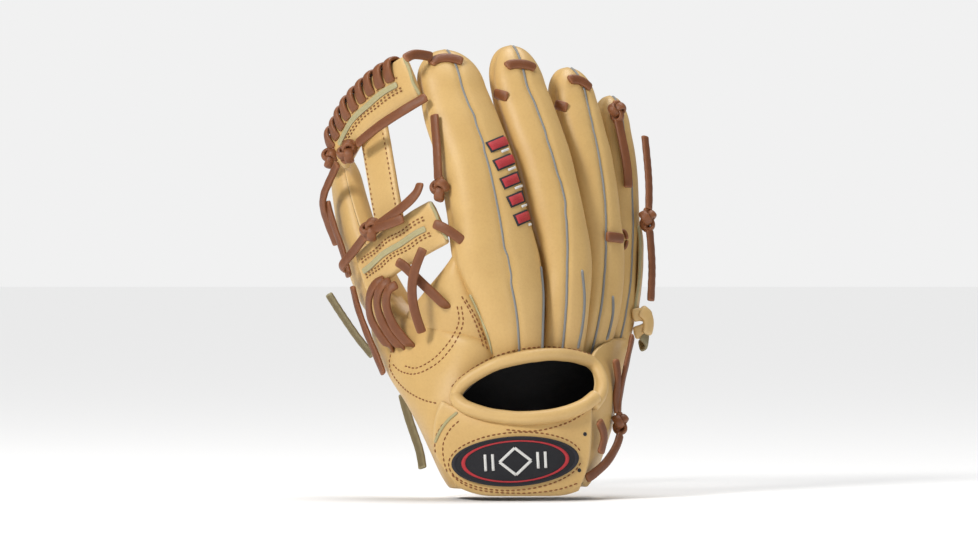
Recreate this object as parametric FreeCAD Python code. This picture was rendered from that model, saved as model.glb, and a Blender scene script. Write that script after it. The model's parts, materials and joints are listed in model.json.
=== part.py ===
"""Fielder's baseball glove, eleven and a half inch pattern with an I-shaped web, worn on the right hand.

Frame: +Z runs from the wrist to the fingertips, the back of the hand faces -Y, the pocket faces +Y and the
thumb is at -X. The origin is the middle of the wrist opening, at the heel. All sizes are millimetres.
"""
import FreeCAD, Part
import math
import os

V = FreeCAD.Vector

# ---- overall sizes: the outlines below are drawn for these and stretch with them
HEIGHT = 280.0
WIDTH = 215.0
DEPTH = 130.0
DRAWN_HEIGHT, DRAWN_WIDTH, DRAWN_DEPTH = 280.0, 215.0, 130.0

# ---- leather, padding and lining thicknesses
STALL_WALL = 3.4        # finger backs and fronts: leather, felt and liner together
PALM_LEATHER = 3.2
PALM_PADDING = 4.5
PALM_LINING = 1.4
PANEL_LEATHER = 3.0
STRAP_LEATHER = 3.0
STRAP_LINING = 2.6
PATCH_THICK = 1.6
WEB_LEATHER = 3.0       # each of the two layers of a web bar
POST_LEATHER = 2.2
LAYER_GAP = 0.15        # air between layers that lie on each other
BODY_GAP = 1.2          # air between pieces that move past each other

# ---- trim
WELT_WIDE, WELT_HIGH = 2.2, 1.5
ROLL_RADIUS = 3.3       # padded binding round the back opening
LACE_WIDE, LACE_THICK = 6.4, 2.8
KNOT_WIDE, KNOT_TALL, KNOT_THICK = 10.0, 11.0, 8.0
PATCH_HALF_WIDE, PATCH_HALF_TALL, PATCH_TILT = 37.0, 14.5, 3.0
WINDINGS = 9
TAIL = 6.0              # a free lace end, by its width
WELT_LIFT, LACE_LIFT = 0.8, 0.9
STRIP_STEP = 9.0

# ---- the levels of the hand, up from the heel
OPENING_TOP = 86.0
CROTCH = 141.0          # where the stalls part
STEP = 13.0             # spacing of the sections a stall is lofted through

# ---- finger stalls: (level, centre x, centre y, half width, half depth, degrees that the back faces right)
STALLS = {
    "index": [(86, 1.5, -14, 14.8, 8.6, 10), (112, -3, -15, 19.5, 12.5, 18), (141, -11, -12, 26, 16.5, 22),
              (171, -17, -7, 24.4, 18.5, 24), (203, -24, 0, 23.6, 18.5, 24),
              (229, -32.5, 9, 22.8, 17.5, 22),
              (250, -39, 18, 20.5, 15.5, 20)],
    "middle": [(86, 28.5, 1, 12.4, 8.5, 22), (112, 30.5, 2.5, 13.6, 11.5, 28),
               (141, 30.5, 8.5, 15.8, 14.5, 32),
               (171, 24, 14, 17.6, 17, 32), (203, 16.5, 22, 18.6, 17.5, 32), (229, 8.5, 30, 18.6, 16.5, 30),
               (252, 1.5, 39, 16.8, 14.5, 28)],
    "ring": [(86, 47, 22, 11.4, 8.2, 38), (112, 52, 25.5, 12.6, 10.6, 42), (141, 53, 35, 14.4, 13, 45),
             (171, 49.5, 41, 15.8, 14.5, 46), (203, 45, 49.5, 16.4, 15, 46), (229, 39, 57, 16.4, 14.4, 44),
             (244, 36, 62, 14.8, 12.8, 42)],
    "pinky": [(86, 60.5, 44.5, 11.2, 7.6, 55), (112, 64.5, 50.5, 12.4, 9.2, 60),
              (141, 65.5, 62, 13.4, 10.6, 62),
              (171, 65.2, 70, 14, 12, 62), (203, 63.5, 77.5, 14.2, 12.4, 62),
              (225, 61, 83.5, 13, 11.2, 60)],
    "thumb": [(65, -57, 20, 22, 13, -40), (80, -62, 25, 23.5, 14, -47), (100, -71, 35, 23, 14.2, -56),
              (122, -83, 46, 21.4, 13.3, -65), (145, -93.5, 57, 20, 12.2, -72),
              (168, -100, 66, 19.2, 11.2, -78),
              (188, -104.5, 73, 18, 10.2, -82)],
}
TIPS = {"index": (273.5, -43.5, 27), "middle": (277, -2.5, 48), "ring": (264, 33, 68),
        "pinky": (247, 60, 90),
        "thumb": (211, -109, 80)}
DOME = (0.35, 0.62, 0.82, 0.94, 0.99)   # shares of the way from the last station to the tip

# ---- palm: pocket-side curves from the thumb crease to the little finger's edge
PALM = [
    (1, [(-34, 27), (-16, 24), (8, 24), (33, 29), (50, 37)]),
    (30, [(-36, 27), (-14, 23), (10, 25), (35, 33), (53, 46)]),
    (60, [(-31, 23.5), (-11, 19), (13, 25), (36, 41), (55, 58)]),
    (84, [(-30, 18.5), (-10, 16), (16, 26), (38, 44), (57, 66)]),
    (112, [(-31, 8), (-11, 12), (19, 25), (41, 46), (59, 73)]),
    (139, [(-34, -3), (-17, 6), (20, 22), (42, 44), (59, 73)]),
]
PALM_SPLIT_LEVEL = 84.0     # the ring and little fingers' part of the palm starts here ...
PALM_SPLIT_SUM = 81.0       # ... beyond the line x + y = this

# ---- side and back panels, by their outer faces
WRIST_SIDE = [
    (1, [(-36, -22), (-42, -8), (-43, 8), (-38.5, 19)]),
    (22, [(-46, -18), (-49, -8), (-50, 8), (-46, 20), (-40, 24)]),
    (42, [(-54, -18), (-58, -8), (-60, 8), (-55, 22), (-39, 27)]),
    (58, [(-43, -24), (-60, -12), (-71, 4), (-64, 24), (-37, 28)]),
]
THUMB_BASE = [
    (66, [(-36, -21), (-41, -15), (-46, -6)]),
    (84, [(-18, -20), (-31, -14), (-44, -4)]),
    (108, [(-25, -23), (-35, -16), (-48, -3)]),
    (134, [(-39, -23), (-44, -17), (-51, -7)]),
]
OUTER_SIDE = [
    (38, [(48, -18), (55, -6), (59, 12), (59.5, 32)]),
    (60, [(54, -10), (60, 4), (63, 24), (63, 45)]),
    (81, [(58, 5), (64, 18), (67, 36), (67, 53)]),
]
OUTER_BAND = [
    (112, [(77.5, 50), (78.5, 60), (75, 69)]),
    (141, [(80.5, 58), (81, 68), (77.5, 78)]),
    (160, [(81, 64), (81.5, 74), (78, 84)]),
]
STRAP = [
    (0, [(-37, -30), (-14, -37), (14, -37), (40, -29)]),
    (14, [(-47, -27), (-18, -37), (14, -37), (45, -27)]),
    (30, [(-50, -26), (-18, -37), (14, -37), (47, -26)]),
    (43, [(-46, -28), (-18, -37), (14, -36.5), (47, -25.5)]),
]
RIM = [(-35, -25, 58.5), (-27, -27, 68.5), (-12, -27.5, 76.5), (6, -26.5, 80), (22, -20, 80.8),
       (36, -9, 80),
       (46, -1, 77), (51, -7, 68), (49, -15, 59)]
ROLL = [(-43, -28, 50.5), (-20, -36, 47.5), (12, -36.5, 47.5), (43, -27, 50)]

# ---- welts on the finger backs, (x, level) down each line
WELTS = {
    "index_welt": ("index", [(-31, 247), (-21, 220), (-15, 197), (-10.5, 175), (-6, 152), (-2.5, 133),
                             (0.6, 114),
                             (2, 96), (2.5, 88)]),
    "middle_welt": ("middle", [(8, 251), (17, 228), (24, 205), (30.5, 183), (32, 160), (32, 141),
                               (31.5, 118),
                               (29.5, 91)]),
    "ring_welt": ("ring", [(46, 243), (51.5, 216), (55, 194), (57, 175), (57, 160), (56, 137), (53.5, 114),
                           (48, 89)]),
    "pinky_welt": ("pinky", [(70, 222), (74, 196), (75, 175), (75, 150), (72.5, 122), (66, 90)]),
}

# ---- web: centre lines of its bars' outer faces, from the index finger to the thumb
TOP_BAR = [(-73, 9, 250.5), (-87, 20, 242), (-102, 36, 227.5), (-113, 53, 209)]
BOTTOM_BAR = [(-48, -22, 165), (-64, -13, 157), (-80, 2, 147), (-96, 22, 134)]
BAR_TALL = 28.0
POST = [(-93, 29, 219), (-87, 17, 192), (-81, 8, 164)]
POST_WIDE = 25.0
POST_FACE = (-0.72, -0.69, 0)
POST_INSET = 7.0        # the post runs behind both bars' outer faces by this much

# ---- laces: short bars over the finger tips and between the fingers, (x, level) on a finger's back
TIP_LACES = {
    "finger_tip_laces": [("index", [(-48, 262), (-41, 266), (-34, 265)]),
                         ("middle", [(-6, 263), (3, 265), (11, 262)]),
                         ("middle", [(-9, 245), (-4, 243.5)])],
    "outer_tip_laces": [("ring", [(30, 254), (37, 255.5), (44, 252)]), ("ring", [(27, 239), (32, 238)]),
                        ("ring", [(59.5, 157), (62, 156.7), (65, 156.2)])],
}
# flat laces: the ways their broad sides look, and their routes
LACES = {
    "web_upper_lace": [((-0.3, -0.95, 0), [(-66, 0, 268), (-62, 1, 269), (-57, 5, 268)]),
                       ((-0.62, -0.78, 0), [(-57, -7, 242), (-70, -2, 234), (-84, 8, 226),
                                            (-98, 23, 215)])],
    "web_lower_lace": [((-0.68, -0.73, 0), [(-59, -23, 187), (-66, -20, 178), (-75, -12, 171),
                                            (-84, -2, 165)]),
                       ((-0.7, -0.7, 0), [(-94, 10, 156), (-101, 20, 148), (-108, 30, 139)])],
    "thumb_loops": [((-0.8, -0.6, 0), [(-82, -4, 131), (-92, 8, 121), (-96, 18, 110), (-89, 15, 98),
                                       (-79, 11, 90)]),
                    ((-0.7, -0.7, 0), [(-74, -9, 131), (-82, 1, 121), (-85, 8, 109), (-78, 6, 97),
                                       (-70, 3, 88)])],
    "crossing_lace": [((-0.4, -0.92, 0), [(-73, -14, 143), (-62, -15, 133), (-52, -17, 124),
                                          (-43, -19, 116)])],
    "thumb_edge_lace": [((-0.85, -0.5, 0), [(-102, 38, 126), (-99, 37, 112), (-93, 32, 98), (-86, 23, 84),
                                            (-80, 15, 74)])],
    "heel_laces": [((0.95, -0.2, 0), [(71, 20, 83), (68.5, 15, 70), (66, 11, 57), (64.5, 8, 49)]),
                   ((0.8, -0.6, 0), [(52, -23, 45), (54, -20, 35), (52, -18, 25)]),
                   ((0.75, -0.65, 0), [(65, 2.5, 34.5), (62, -5, 27.5), (56, -12, 19), (49, -18, 13)])],
}
# knots: middle, the way the lace runs through it, the way it faces, size
KNOTS = {
    "index_knot": ((-47, -18, 186), (0, 0, 1), (-0.81, -0.58, 0), 0.9),
    "web_upper_knot": ((-106, 30.5, 209), (-0.5, 0.5, -0.7), (-0.7, -0.7, 0), 1.0),
    "web_lower_knot": ((-90, 3, 161), (-0.6, 0.6, -0.5), (-0.68, -0.73, 0), 1.0),
    "pinky_tip_knot": ((64.5, 71.5, 236), (0, 0, 1), (0.43, -0.9, 0), 0.85),
    "outer_knot": ((84, 62, 168), (0, 0, 1), (0.95, -0.3, 0), 0.9),
    "outer_wrap_knot": ((80, 49, 102), (0, 0, 1), (0.95, -0.3, 0), 1.25),
    "heel_knot": ((65, 6, 42), (0, 0, 1), (0.95, -0.3, 0), 1.0),
}
# free lace ends: each starts at its knot or hole
TAILS = {
    "index_tail": [(-47, -18, 191.5), (-47.5, -17.5, 203), (-48, -15.5, 214), (-49, -12.5, 224),
                   (-49.5, -10, 232)],
    "web_tail": [(-110, 36, 203), (-114, 42, 195), (-121, 52, 180), (-117, 57, 166), (-111, 57, 152)],
    "crossing_tail": [(-56, -28, 150), (-61.5, -26.5, 138), (-63.5, -23, 124), (-61.5, -17, 110),
                      (-57, -12, 98)],
    "thumb_tail": [(-88, 37, 83), (-96, 39, 92), (-105, 41, 105), (-111, 41, 114), (-116, 41, 122)],
    "wrist_tail": [(-70, 32, 60), (-67, 29, 48), (-62, 22, 34), (-58, 15, 23), (-57, 12, 14)],
    "outer_upper_tail": [(84, 62, 174.4), (84.5, 66, 185), (84, 70, 198), (83, 73, 210), (82, 77, 221)],
    "outer_lower_tail": [(84.5, 61, 162), (85.5, 59, 150), (86, 56, 138), (85.5, 53, 127), (85, 52, 117)],
    "pinky_tail": [(65, 70.5, 231), (67, 66.5, 221), (69.5, 62.5, 208), (71, 59.5, 197), (71, 58, 188)],
}



def mapped(x, y, z):
    """A drawn point, stretched to the overall sizes."""
    return V(x * WIDTH / DRAWN_WIDTH, y * DEPTH / DRAWN_DEPTH, z * HEIGHT / DRAWN_HEIGHT)


def unit(v):
    return V(v).normalize()


def mix(a, b, t):
    return a + (b - a) * t


# ---------------------------------------------------------------- sections and lofts
ARC_STEPS = 8


def half_ring(station, front):
    """Points round the back (or front) half of one stall section, from its left edge to its right edge."""
    level, cx, cy, a, b, facing = station
    turn = math.radians(facing)
    across = (math.cos(turn), math.sin(turn))
    out = (-math.sin(turn), math.cos(turn)) if front else (math.sin(turn), -math.cos(turn))
    points = []
    for i in range(ARC_STEPS + 1):
        angle = math.pi * (1 - i / ARC_STEPS)
        u, w = a * math.cos(angle), b * math.sin(angle)
        points.append(mapped(cx + u * across[0] + w * out[0], cy + u * across[1] + w * out[1], level))
    return points


def pulled_in(points, distance):
    """The same arc, moved towards the middle of its chord by a wall's thickness."""
    middle = mix(points[0], points[-1], 0.5)
    moved = []
    for p in points:
        reach = (p - middle).Length
        moved.append(middle + (p - middle) * max(1 - distance / max(reach, 1e-6), 0.15))
    return moved


def spline_edge(points):
    curve = Part.BSplineCurve()
    curve.interpolate(points)
    return curve.toShape()


def band_wire(outer, inner):
    """A closed wire between two arcs with matching ends."""
    back = list(reversed(inner))
    return Part.Wire([spline_edge(outer), Part.makeLine(outer[-1], back[0]),
                      spline_edge(back), Part.makeLine(back[-1], outer[0])])


def lofted(wires):
    shape = Part.makeLoft(wires, True, True)
    if shape.Volume < 0:
        shape.reverse()
    return shape


def smooth_between(rows, level):
    """Values at a level on the smooth curve through rows of (level, value, value, ...)."""
    count = len(rows)
    i = max(k for k in range(count - 1) if rows[k][0] <= level or k == 0)
    low, high = rows[i], rows[i + 1]
    before = rows[i - 1] if i > 0 else [2 * p - q for p, q in zip(low, high)]
    after = rows[i + 2] if i + 2 < count else [2 * q - p for p, q in zip(low, high)]
    span = high[0] - low[0]
    t = (level - low[0]) / span
    values = [level]
    for k in range(1, len(low)):
        rise_low = (high[k] - before[k]) / (high[0] - before[0]) * span
        rise_high = (after[k] - low[k]) / (after[0] - low[0]) * span
        values.append((2 * t ** 3 - 3 * t ** 2 + 1) * low[k] + (t ** 3 - 2 * t ** 2 + t) * rise_low
                      + (3 * t ** 2 - 2 * t ** 3) * high[k] + (t ** 3 - t ** 2) * rise_high)
    return tuple(values)


def stall_station(name, level):
    """A stall's section at any level, its rounded tip included."""
    rows, (tip_level, tip_x, tip_y) = STALLS[name], TIPS[name]
    last = rows[-1]
    if level <= last[0]:
        return smooth_between(rows, level)
    share = (level - last[0]) / (tip_level - last[0])
    shrink = math.sqrt(max(1 - share ** 2, 0.0))
    return (level, last[1] + (tip_x - last[1]) * share, last[2] + (tip_y - last[2]) * share,
            last[3] * shrink, last[4] * shrink, last[5])


def even_levels(start, end):
    """Levels about a step apart, without the end one."""
    count = max(2, round((end - start) / STEP))
    return [start + (end - start) * i / count for i in range(count)]


def stall_levels(name, front):
    """Levels for a stall's sections, the same ones in both halves wherever both exist."""
    bottom, top, tip = STALLS[name][0][0], STALLS[name][-1][0], TIPS[name][0]
    below = [] if front and name != "thumb" else even_levels(bottom, CROTCH)
    return below + even_levels(CROTCH, top) + [top] + [top + (tip - top) * share for share in DOME]


def stall_half(name, front):
    """The back or front half of a stall: a curved wall, closed round the tip."""
    wires = []
    for level in stall_levels(name, front):
        outer = half_ring(stall_station(name, level), front)
        wires.append(band_wire(outer, pulled_in(outer, STALL_WALL)))
    return lofted(wires)


def level_normals(points, flip):
    """Sideways unit normals of a level curve."""
    found = []
    for i in range(len(points)):
        ahead = points[min(i + 1, len(points) - 1)] - points[max(i - 1, 0)]
        found.append(unit(V(ahead.y, -ahead.x, 0)) * flip)
    return found


def resampled(points, count):
    """Points spread evenly along the smooth curve through the drawn ones."""
    return spline_edge(points).discretize(count)


def sheet(levels, near, far, flip=1, count=11):
    """A thick sheet lofted up the levels, between two distances behind its drawn face."""
    wires = []
    for level, row in levels:
        points = resampled([mapped(x, y, level) for x, y in row], count)
        normals = level_normals(points, flip)
        wires.append(band_wire([p + n * near for p, n in zip(points, normals)],
                               [p + n * far for p, n in zip(points, normals)]))
    return lofted(wires)


# ---------------------------------------------------------------- laces, straps and cords
def strip_through(points, faces, wide, thick, lift=0.0):
    """A flat strip along points; faces are the ways its broad side looks there."""
    wires = []
    for i, p in enumerate(points):
        ahead = unit(points[min(i + 1, len(points) - 1)] - points[max(i - 1, 0)])
        across = unit(ahead.cross(faces[i]))
        up = unit(across.cross(ahead))
        middle = p + up * lift
        corners = [middle + across * (wide / 2 * s) + up * (thick / 2 * t) for s,
                   t in ((-1, -1), (1, -1), (1, 1), (-1, 1))]
        wires.append(Part.makePolygon(corners + [corners[0]]))
    return lofted(wires)


def lace(face, drawn):
    """A flat lace through drawn points, its broad side looking one way."""
    points = resampled([mapped(*p) for p in drawn], 3 * len(drawn) - 2)
    return strip_through(points, [V(*face)] * len(points), LACE_WIDE, LACE_THICK)


def arc_route(points):
    """A wire of straight runs joined by tangent arcs, and the arcs' radii."""
    edges, radii, start = [], [], points[0]
    for before, corner, after in zip(points, points[1:], points[2:]):
        into, away = corner - before, after - corner
        half_turn = into.getAngle(away) / 2
        trim = 0.45 * min(into.Length, away.Length)
        radius = trim / math.tan(half_turn)
        a, b = corner - unit(into) * trim, corner + unit(away) * trim
        towards = unit(unit(away) - unit(into))
        centre = corner + towards * (radius / math.cos(half_turn))
        edges.append(Part.LineSegment(start, a).toShape())
        edges.append(Part.Arc(a, centre - towards * radius, b).toShape())
        radii.append(radius)
        start = b
    edges.append(Part.LineSegment(start, points[-1]).toShape())
    return Part.Wire(edges), radii


def tube(drawn, diameter, name):
    """A round tube along a route of drawn points."""
    points = [mapped(*p) for p in drawn]
    wire, radii = arc_route(points)
    circle = Part.Wire([Part.makeCircle(diameter / 2, points[0], unit(points[1] - points[0]))])
    shape = wire.makePipeShell([circle], True, False)
    if shape.Volume < 0:
        shape.reverse()
    wanted = math.pi * diameter ** 2 / 4 * wire.Length
    print(name, "length", round(wire.Length, 1), "least radius", round(min(radii), 1) if radii else None,
          "volume share", round(shape.Volume / wanted, 4))
    return shape


def knot(drawn, along, face, size=1.0):
    """A lace knot: a chamfered block, its long side along the lace."""
    along, face = unit(V(*along)), unit(V(*face))
    across = unit(along.cross(face))
    face = unit(across.cross(along))
    wide, tall, thick = KNOT_WIDE * size, KNOT_TALL * size, KNOT_THICK * size
    box = Part.makeBox(wide, tall, thick, V(-wide / 2, -tall / 2, -thick / 2))
    box = box.makeChamfer(min(wide, tall, thick) * 0.24, box.Edges)
    centre = mapped(*drawn)
    turn = FreeCAD.Matrix(across.x, along.x, face.x, centre.x, across.y, along.y, face.y, centre.y,
                          across.z, along.z, face.z, centre.z, 0, 0, 0, 1)
    box.transformShape(turn)
    return box


# ---------------------------------------------------------------- places on the stalls
def stall_point(name, x, level):
    """The point of a stall's back at drawn x and level, and the way out there."""
    edge = spline_edge(half_ring(stall_station(name, level), False))
    above = spline_edge(half_ring(stall_station(name, level + 0.5), False))
    want = x * WIDTH / DRAWN_WIDTH
    shares = [i / 80 for i in range(3, 78)]

    def at(curve, share):
        return curve.valueAt(curve.FirstParameter + (curve.LastParameter - curve.FirstParameter) * share)

    rightmost = max(shares, key=lambda share: at(edge, share).x)
    best = min((k for k in shares if k <= rightmost), key=lambda share: abs(at(edge, share).x - want))
    along = at(edge, best + 0.01) - at(edge, best - 0.01)
    return at(edge, best), unit(along.cross(at(above, best) - at(edge, best)))


def stall_strip(name, route, wide, thick, lift):
    """A strip lying on a stall's back, through drawn (x, level) places."""
    places = []
    for (x, level), (next_x, next_level) in zip(route, route[1:]):
        pieces = max(1, round(math.hypot(next_x - x, next_level - level) / STRIP_STEP))
        places += [(x + (next_x - x) * i / pieces, level + (next_level - level) * i / pieces)
                   for i in range(pieces)]
    found = [stall_point(name, x, level) for x, level in places + [route[-1]]]
    points = [p + n * (lift + thick / 2) for p, n in found]
    return strip_through(points, [n for p, n in found], wide, thick)


# ---------------------------------------------------------------- the web
def web_frame(line):
    """For each point of a bar's line: the point, the way along, the way up the bar and the way it faces."""
    frames = []
    for i, p in enumerate(line):
        ahead = unit(line[min(i + 1, len(line) - 1)] - line[max(i - 1, 0)])
        face = unit(V(-ahead.y, ahead.x, 0)) * -1
        face = face if face.y < 0 else face * -1
        up = unit(ahead.cross(face))
        up = up if up.z > 0 else up * -1
        frames.append((p, ahead, up, face))
    return frames


def bar_layer(drawn, near, far):
    """One layer of a web bar, between two distances inside its outer face."""
    frames = web_frame(resampled([mapped(*p) for p in drawn], 9))
    middle = (near + far) / 2
    return strip_through([p - face * middle for p, a, u, face in frames], [f[3] for f in frames],
                         BAR_TALL, far - near)


def winding(frame, depth):
    """One turn of lace over a bar's upper edge."""
    p, ahead, up, face = frame
    clear = LAYER_GAP + 0.2 + LACE_THICK / 2
    top = BAR_TALL / 2
    spots = [(clear, top - 7, face), (clear, top + clear, face + up),
             (-depth - clear, top + clear, up - face),
             (-depth - clear, top - 7, face * -1)]
    points = [p + face * out + up * high for out, high, way in spots]
    return strip_through(points, [way for out, high, way in spots], LACE_WIDE, LACE_THICK * 0.9)


def web_parts():
    depth = 2 * WEB_LEATHER + LAYER_GAP
    top = web_frame(resampled([mapped(*p) for p in TOP_BAR], 2 * WINDINGS + 3))
    post = [mapped(*p) for p in POST]
    post = resampled(post, 7)
    faces = [V(*POST_FACE)] * len(post)
    return {
        "web_top_bar": bar_layer(TOP_BAR, 0, WEB_LEATHER),
        "web_top_bar_inner": bar_layer(TOP_BAR, WEB_LEATHER + LAYER_GAP, depth),
        "web_bottom_bar": bar_layer(BOTTOM_BAR, 0, WEB_LEATHER),
        "web_bottom_bar_inner": bar_layer(BOTTOM_BAR, WEB_LEATHER + LAYER_GAP, depth),
        "web_edge_lacing": Part.makeCompound([winding(top[2 * i + 3], depth) for i in range(WINDINGS - 1)]),
        "web_post": strip_through(post, faces, POST_WIDE, POST_LEATHER, lift=-POST_INSET),
        "web_post_inner": strip_through(post, faces, POST_WIDE, POST_LEATHER,
                                        lift=-POST_INSET - POST_LEATHER - LAYER_GAP),
    }


# ---------------------------------------------------------------- palm, panels and strap
def corner_tool(shift):
    """Everything above the palm's split level and beyond its split line, less a margin."""
    edge = PALM_SPLIT_SUM + shift
    corners = [(edge + 60, -60), (edge - 80, 80), (edge - 80 + 200, 280), (edge + 260, 140)]
    points = [mapped(x, y, PALM_SPLIT_LEVEL) + V(0, 0, shift / 2) for x, y in corners]
    return Part.Face(Part.makePolygon(points + [points[0]])).extrude(V(0, 0, 400))


def palm_layers():
    depths = {"leather": (0, PALM_LEATHER)}
    start = PALM_LEATHER + LAYER_GAP
    depths["padding"] = (start, start + PALM_PADDING)
    start += PALM_PADDING + LAYER_GAP
    depths["lining"] = (start, start + PALM_LINING)
    parts = {}
    for layer, (near, far) in depths.items():
        whole = sheet(PALM, near, far)
        parts["palm_" + layer] = whole.cut(corner_tool(-BODY_GAP))
        parts["outer_palm_" + layer] = whole.common(corner_tool(BODY_GAP))
    return parts


def strap_parts():
    inside = STRAP_LEATHER + LAYER_GAP
    tilt = V(0, -1, 0)
    badge = Part.Ellipse(V(0, 0, 0), PATCH_HALF_WIDE, PATCH_HALF_TALL)
    face = Part.Face(Part.Wire([badge.toShape()]))
    face.rotate(V(0, 0, 0), V(1, 0, 0), 90)
    face.rotate(V(0, 0, 0), tilt, PATCH_TILT)
    face.translate(mapped(0, -60, 20.5))
    column = face.extrude(V(0, 60, 0))
    skin = sheet(STRAP, -LAYER_GAP - PATCH_THICK, -LAYER_GAP, flip=-1)
    return {
        "wrist_strap": sheet(STRAP, 0, STRAP_LEATHER, flip=-1),
        "strap_lining": sheet(STRAP, inside, inside + STRAP_LINING, flip=-1),
        "strap_roll": tube(ROLL, 2 * ROLL_RADIUS, "strap_roll"),
        "strap_patch": skin.common(column),
    }


def export(name, shape):
    """Writes one sub-part, and says so if it isn't sound."""
    if not shape.isValid() or not shape.Solids:
        print("UNSOUND", name, shape.isValid(), len(shape.Solids))
    shape.exportStep(os.path.join("parts", name + ".step"))


def lace_parts():
    parts = {}
    for name, bars in TIP_LACES.items():
        parts[name] = Part.makeCompound([stall_strip(stall, route, LACE_WIDE, LACE_THICK, LACE_LIFT)
                                         for stall, route in bars])
    for name, runs in LACES.items():
        parts[name] = Part.makeCompound([lace(face, route) for face, route in runs])
    for name, (centre, along, face, size) in KNOTS.items():
        parts[name] = knot(centre, along, face, size)
    for name, route in TAILS.items():
        parts[name] = tube(route, TAIL, name)
    return parts


def main():
    os.makedirs("parts", exist_ok=True)
    parts = {}
    for name in STALLS:
        parts[name + "_back"] = stall_half(name, False)
        parts[name + "_front"] = stall_half(name, True)
    parts.update(palm_layers())
    parts["wrist_side_panel"] = sheet(WRIST_SIDE, 0, PANEL_LEATHER)
    parts["thumb_base_panel"] = sheet(THUMB_BASE, 0, PANEL_LEATHER)
    parts["outer_side_panel"] = sheet(OUTER_SIDE, 0, PANEL_LEATHER, flip=-1)
    parts["outer_band"] = sheet(OUTER_BAND, 0, PANEL_LEATHER, flip=-1)
    parts["opening_binding"] = tube(RIM, 2 * ROLL_RADIUS, "opening_binding")
    parts.update(strap_parts())
    for name, (stall, route) in WELTS.items():
        parts[name] = stall_strip(stall, route, WELT_WIDE, WELT_HIGH, WELT_LIFT)
    parts.update(web_parts())
    parts.update(lace_parts())
    print("nodes", len(parts))
    for name, shape in parts.items():
        export(name, shape)


main()
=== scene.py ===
"""Fielder's baseball glove: leather shells, laced I-shaped web, welts, stitching and an embroidered strap.

Places are the maker's drawn millimetres in the glove's own frame: +Z to the fingertips, -Y out of the back of
the hand, -X towards the thumb. Everything is turned into metres as it is built.
"""
import json
import math

import bmesh
import bpy
from mathutils import Matrix, Vector, noise
from mathutils.bvhtree import BVHTree

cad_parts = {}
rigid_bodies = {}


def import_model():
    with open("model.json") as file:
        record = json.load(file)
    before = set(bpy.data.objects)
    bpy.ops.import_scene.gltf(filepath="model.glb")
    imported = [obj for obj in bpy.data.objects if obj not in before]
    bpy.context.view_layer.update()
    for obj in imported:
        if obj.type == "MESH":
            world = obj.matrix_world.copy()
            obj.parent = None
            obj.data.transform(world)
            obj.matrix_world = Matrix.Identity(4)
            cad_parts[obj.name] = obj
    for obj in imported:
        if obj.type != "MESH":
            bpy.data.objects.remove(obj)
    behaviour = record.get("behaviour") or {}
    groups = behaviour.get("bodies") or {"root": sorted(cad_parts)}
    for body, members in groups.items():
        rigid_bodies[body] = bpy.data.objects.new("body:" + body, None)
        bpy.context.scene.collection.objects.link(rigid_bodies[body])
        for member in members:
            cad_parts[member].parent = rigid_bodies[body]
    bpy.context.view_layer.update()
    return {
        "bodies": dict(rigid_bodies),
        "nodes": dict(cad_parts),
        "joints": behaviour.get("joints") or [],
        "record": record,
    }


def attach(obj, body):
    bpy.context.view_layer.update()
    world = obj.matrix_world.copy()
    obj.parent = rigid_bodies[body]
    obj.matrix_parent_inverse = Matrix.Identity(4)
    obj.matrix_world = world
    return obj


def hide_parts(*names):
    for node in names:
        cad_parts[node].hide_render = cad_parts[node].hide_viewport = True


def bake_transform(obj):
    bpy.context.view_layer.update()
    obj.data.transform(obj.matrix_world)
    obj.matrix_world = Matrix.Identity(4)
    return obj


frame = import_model()
MM = 0.001

# ---- finger stalls: (level, centre x, centre y, half width, half depth, degrees that the back faces right)
STALLS = {
    "index": [(86, 1.5, -14, 14.8, 8.6, 10), (112, -3, -15, 19.5, 12.5, 18), (141, -11, -12, 26, 16.5, 22),
              (171, -17, -7, 24.4, 18.5, 24), (203, -24, 0, 23.6, 18.5, 24), (229, -32.5, 9, 22.8, 17.5, 22),
              (250, -39, 18, 20.5, 15.5, 20)],
    "middle": [(86, 28.5, 1, 12.4, 8.5, 22), (112, 30.5, 2.5, 13.6, 11.5, 28), (141, 30.5, 8.5, 15.8, 14.5, 32),
               (171, 24, 14, 17.6, 17, 32), (203, 16.5, 22, 18.6, 17.5, 32), (229, 8.5, 30, 18.6, 16.5, 30),
               (252, 1.5, 39, 16.8, 14.5, 28)],
    "ring": [(86, 47, 22, 11.4, 8.2, 38), (112, 52, 25.5, 12.6, 10.6, 42), (141, 53, 35, 14.4, 13, 45),
             (171, 49.5, 41, 15.8, 14.5, 46), (203, 45, 49.5, 16.4, 15, 46), (229, 39, 57, 16.4, 14.4, 44),
             (244, 36, 62, 14.8, 12.8, 42)],
    "pinky": [(86, 60.5, 44.5, 11.2, 7.6, 55), (112, 64.5, 50.5, 12.4, 9.2, 60), (141, 65.5, 62, 13.4, 10.6, 62),
              (171, 65.2, 70, 14, 12, 62), (203, 63.5, 77.5, 14.2, 12.4, 62), (225, 61, 83.5, 13, 11.2, 60)],
    "thumb": [(65, -57, 20, 22, 13, -40), (80, -62, 25, 23.5, 14, -47), (100, -71, 35, 23, 14.2, -56),
              (122, -83, 46, 21.4, 13.3, -65), (145, -93.5, 57, 20, 12.2, -72), (168, -100, 66, 19.2, 11.2, -78),
              (188, -104.5, 73, 18, 10.2, -82)],
}
TIPS = {"index": (273.5, -43.5, 27), "middle": (277, -2.5, 48), "ring": (264, 33, 68), "pinky": (247, 60, 90),
        "thumb": (211, -109, 80)}
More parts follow.
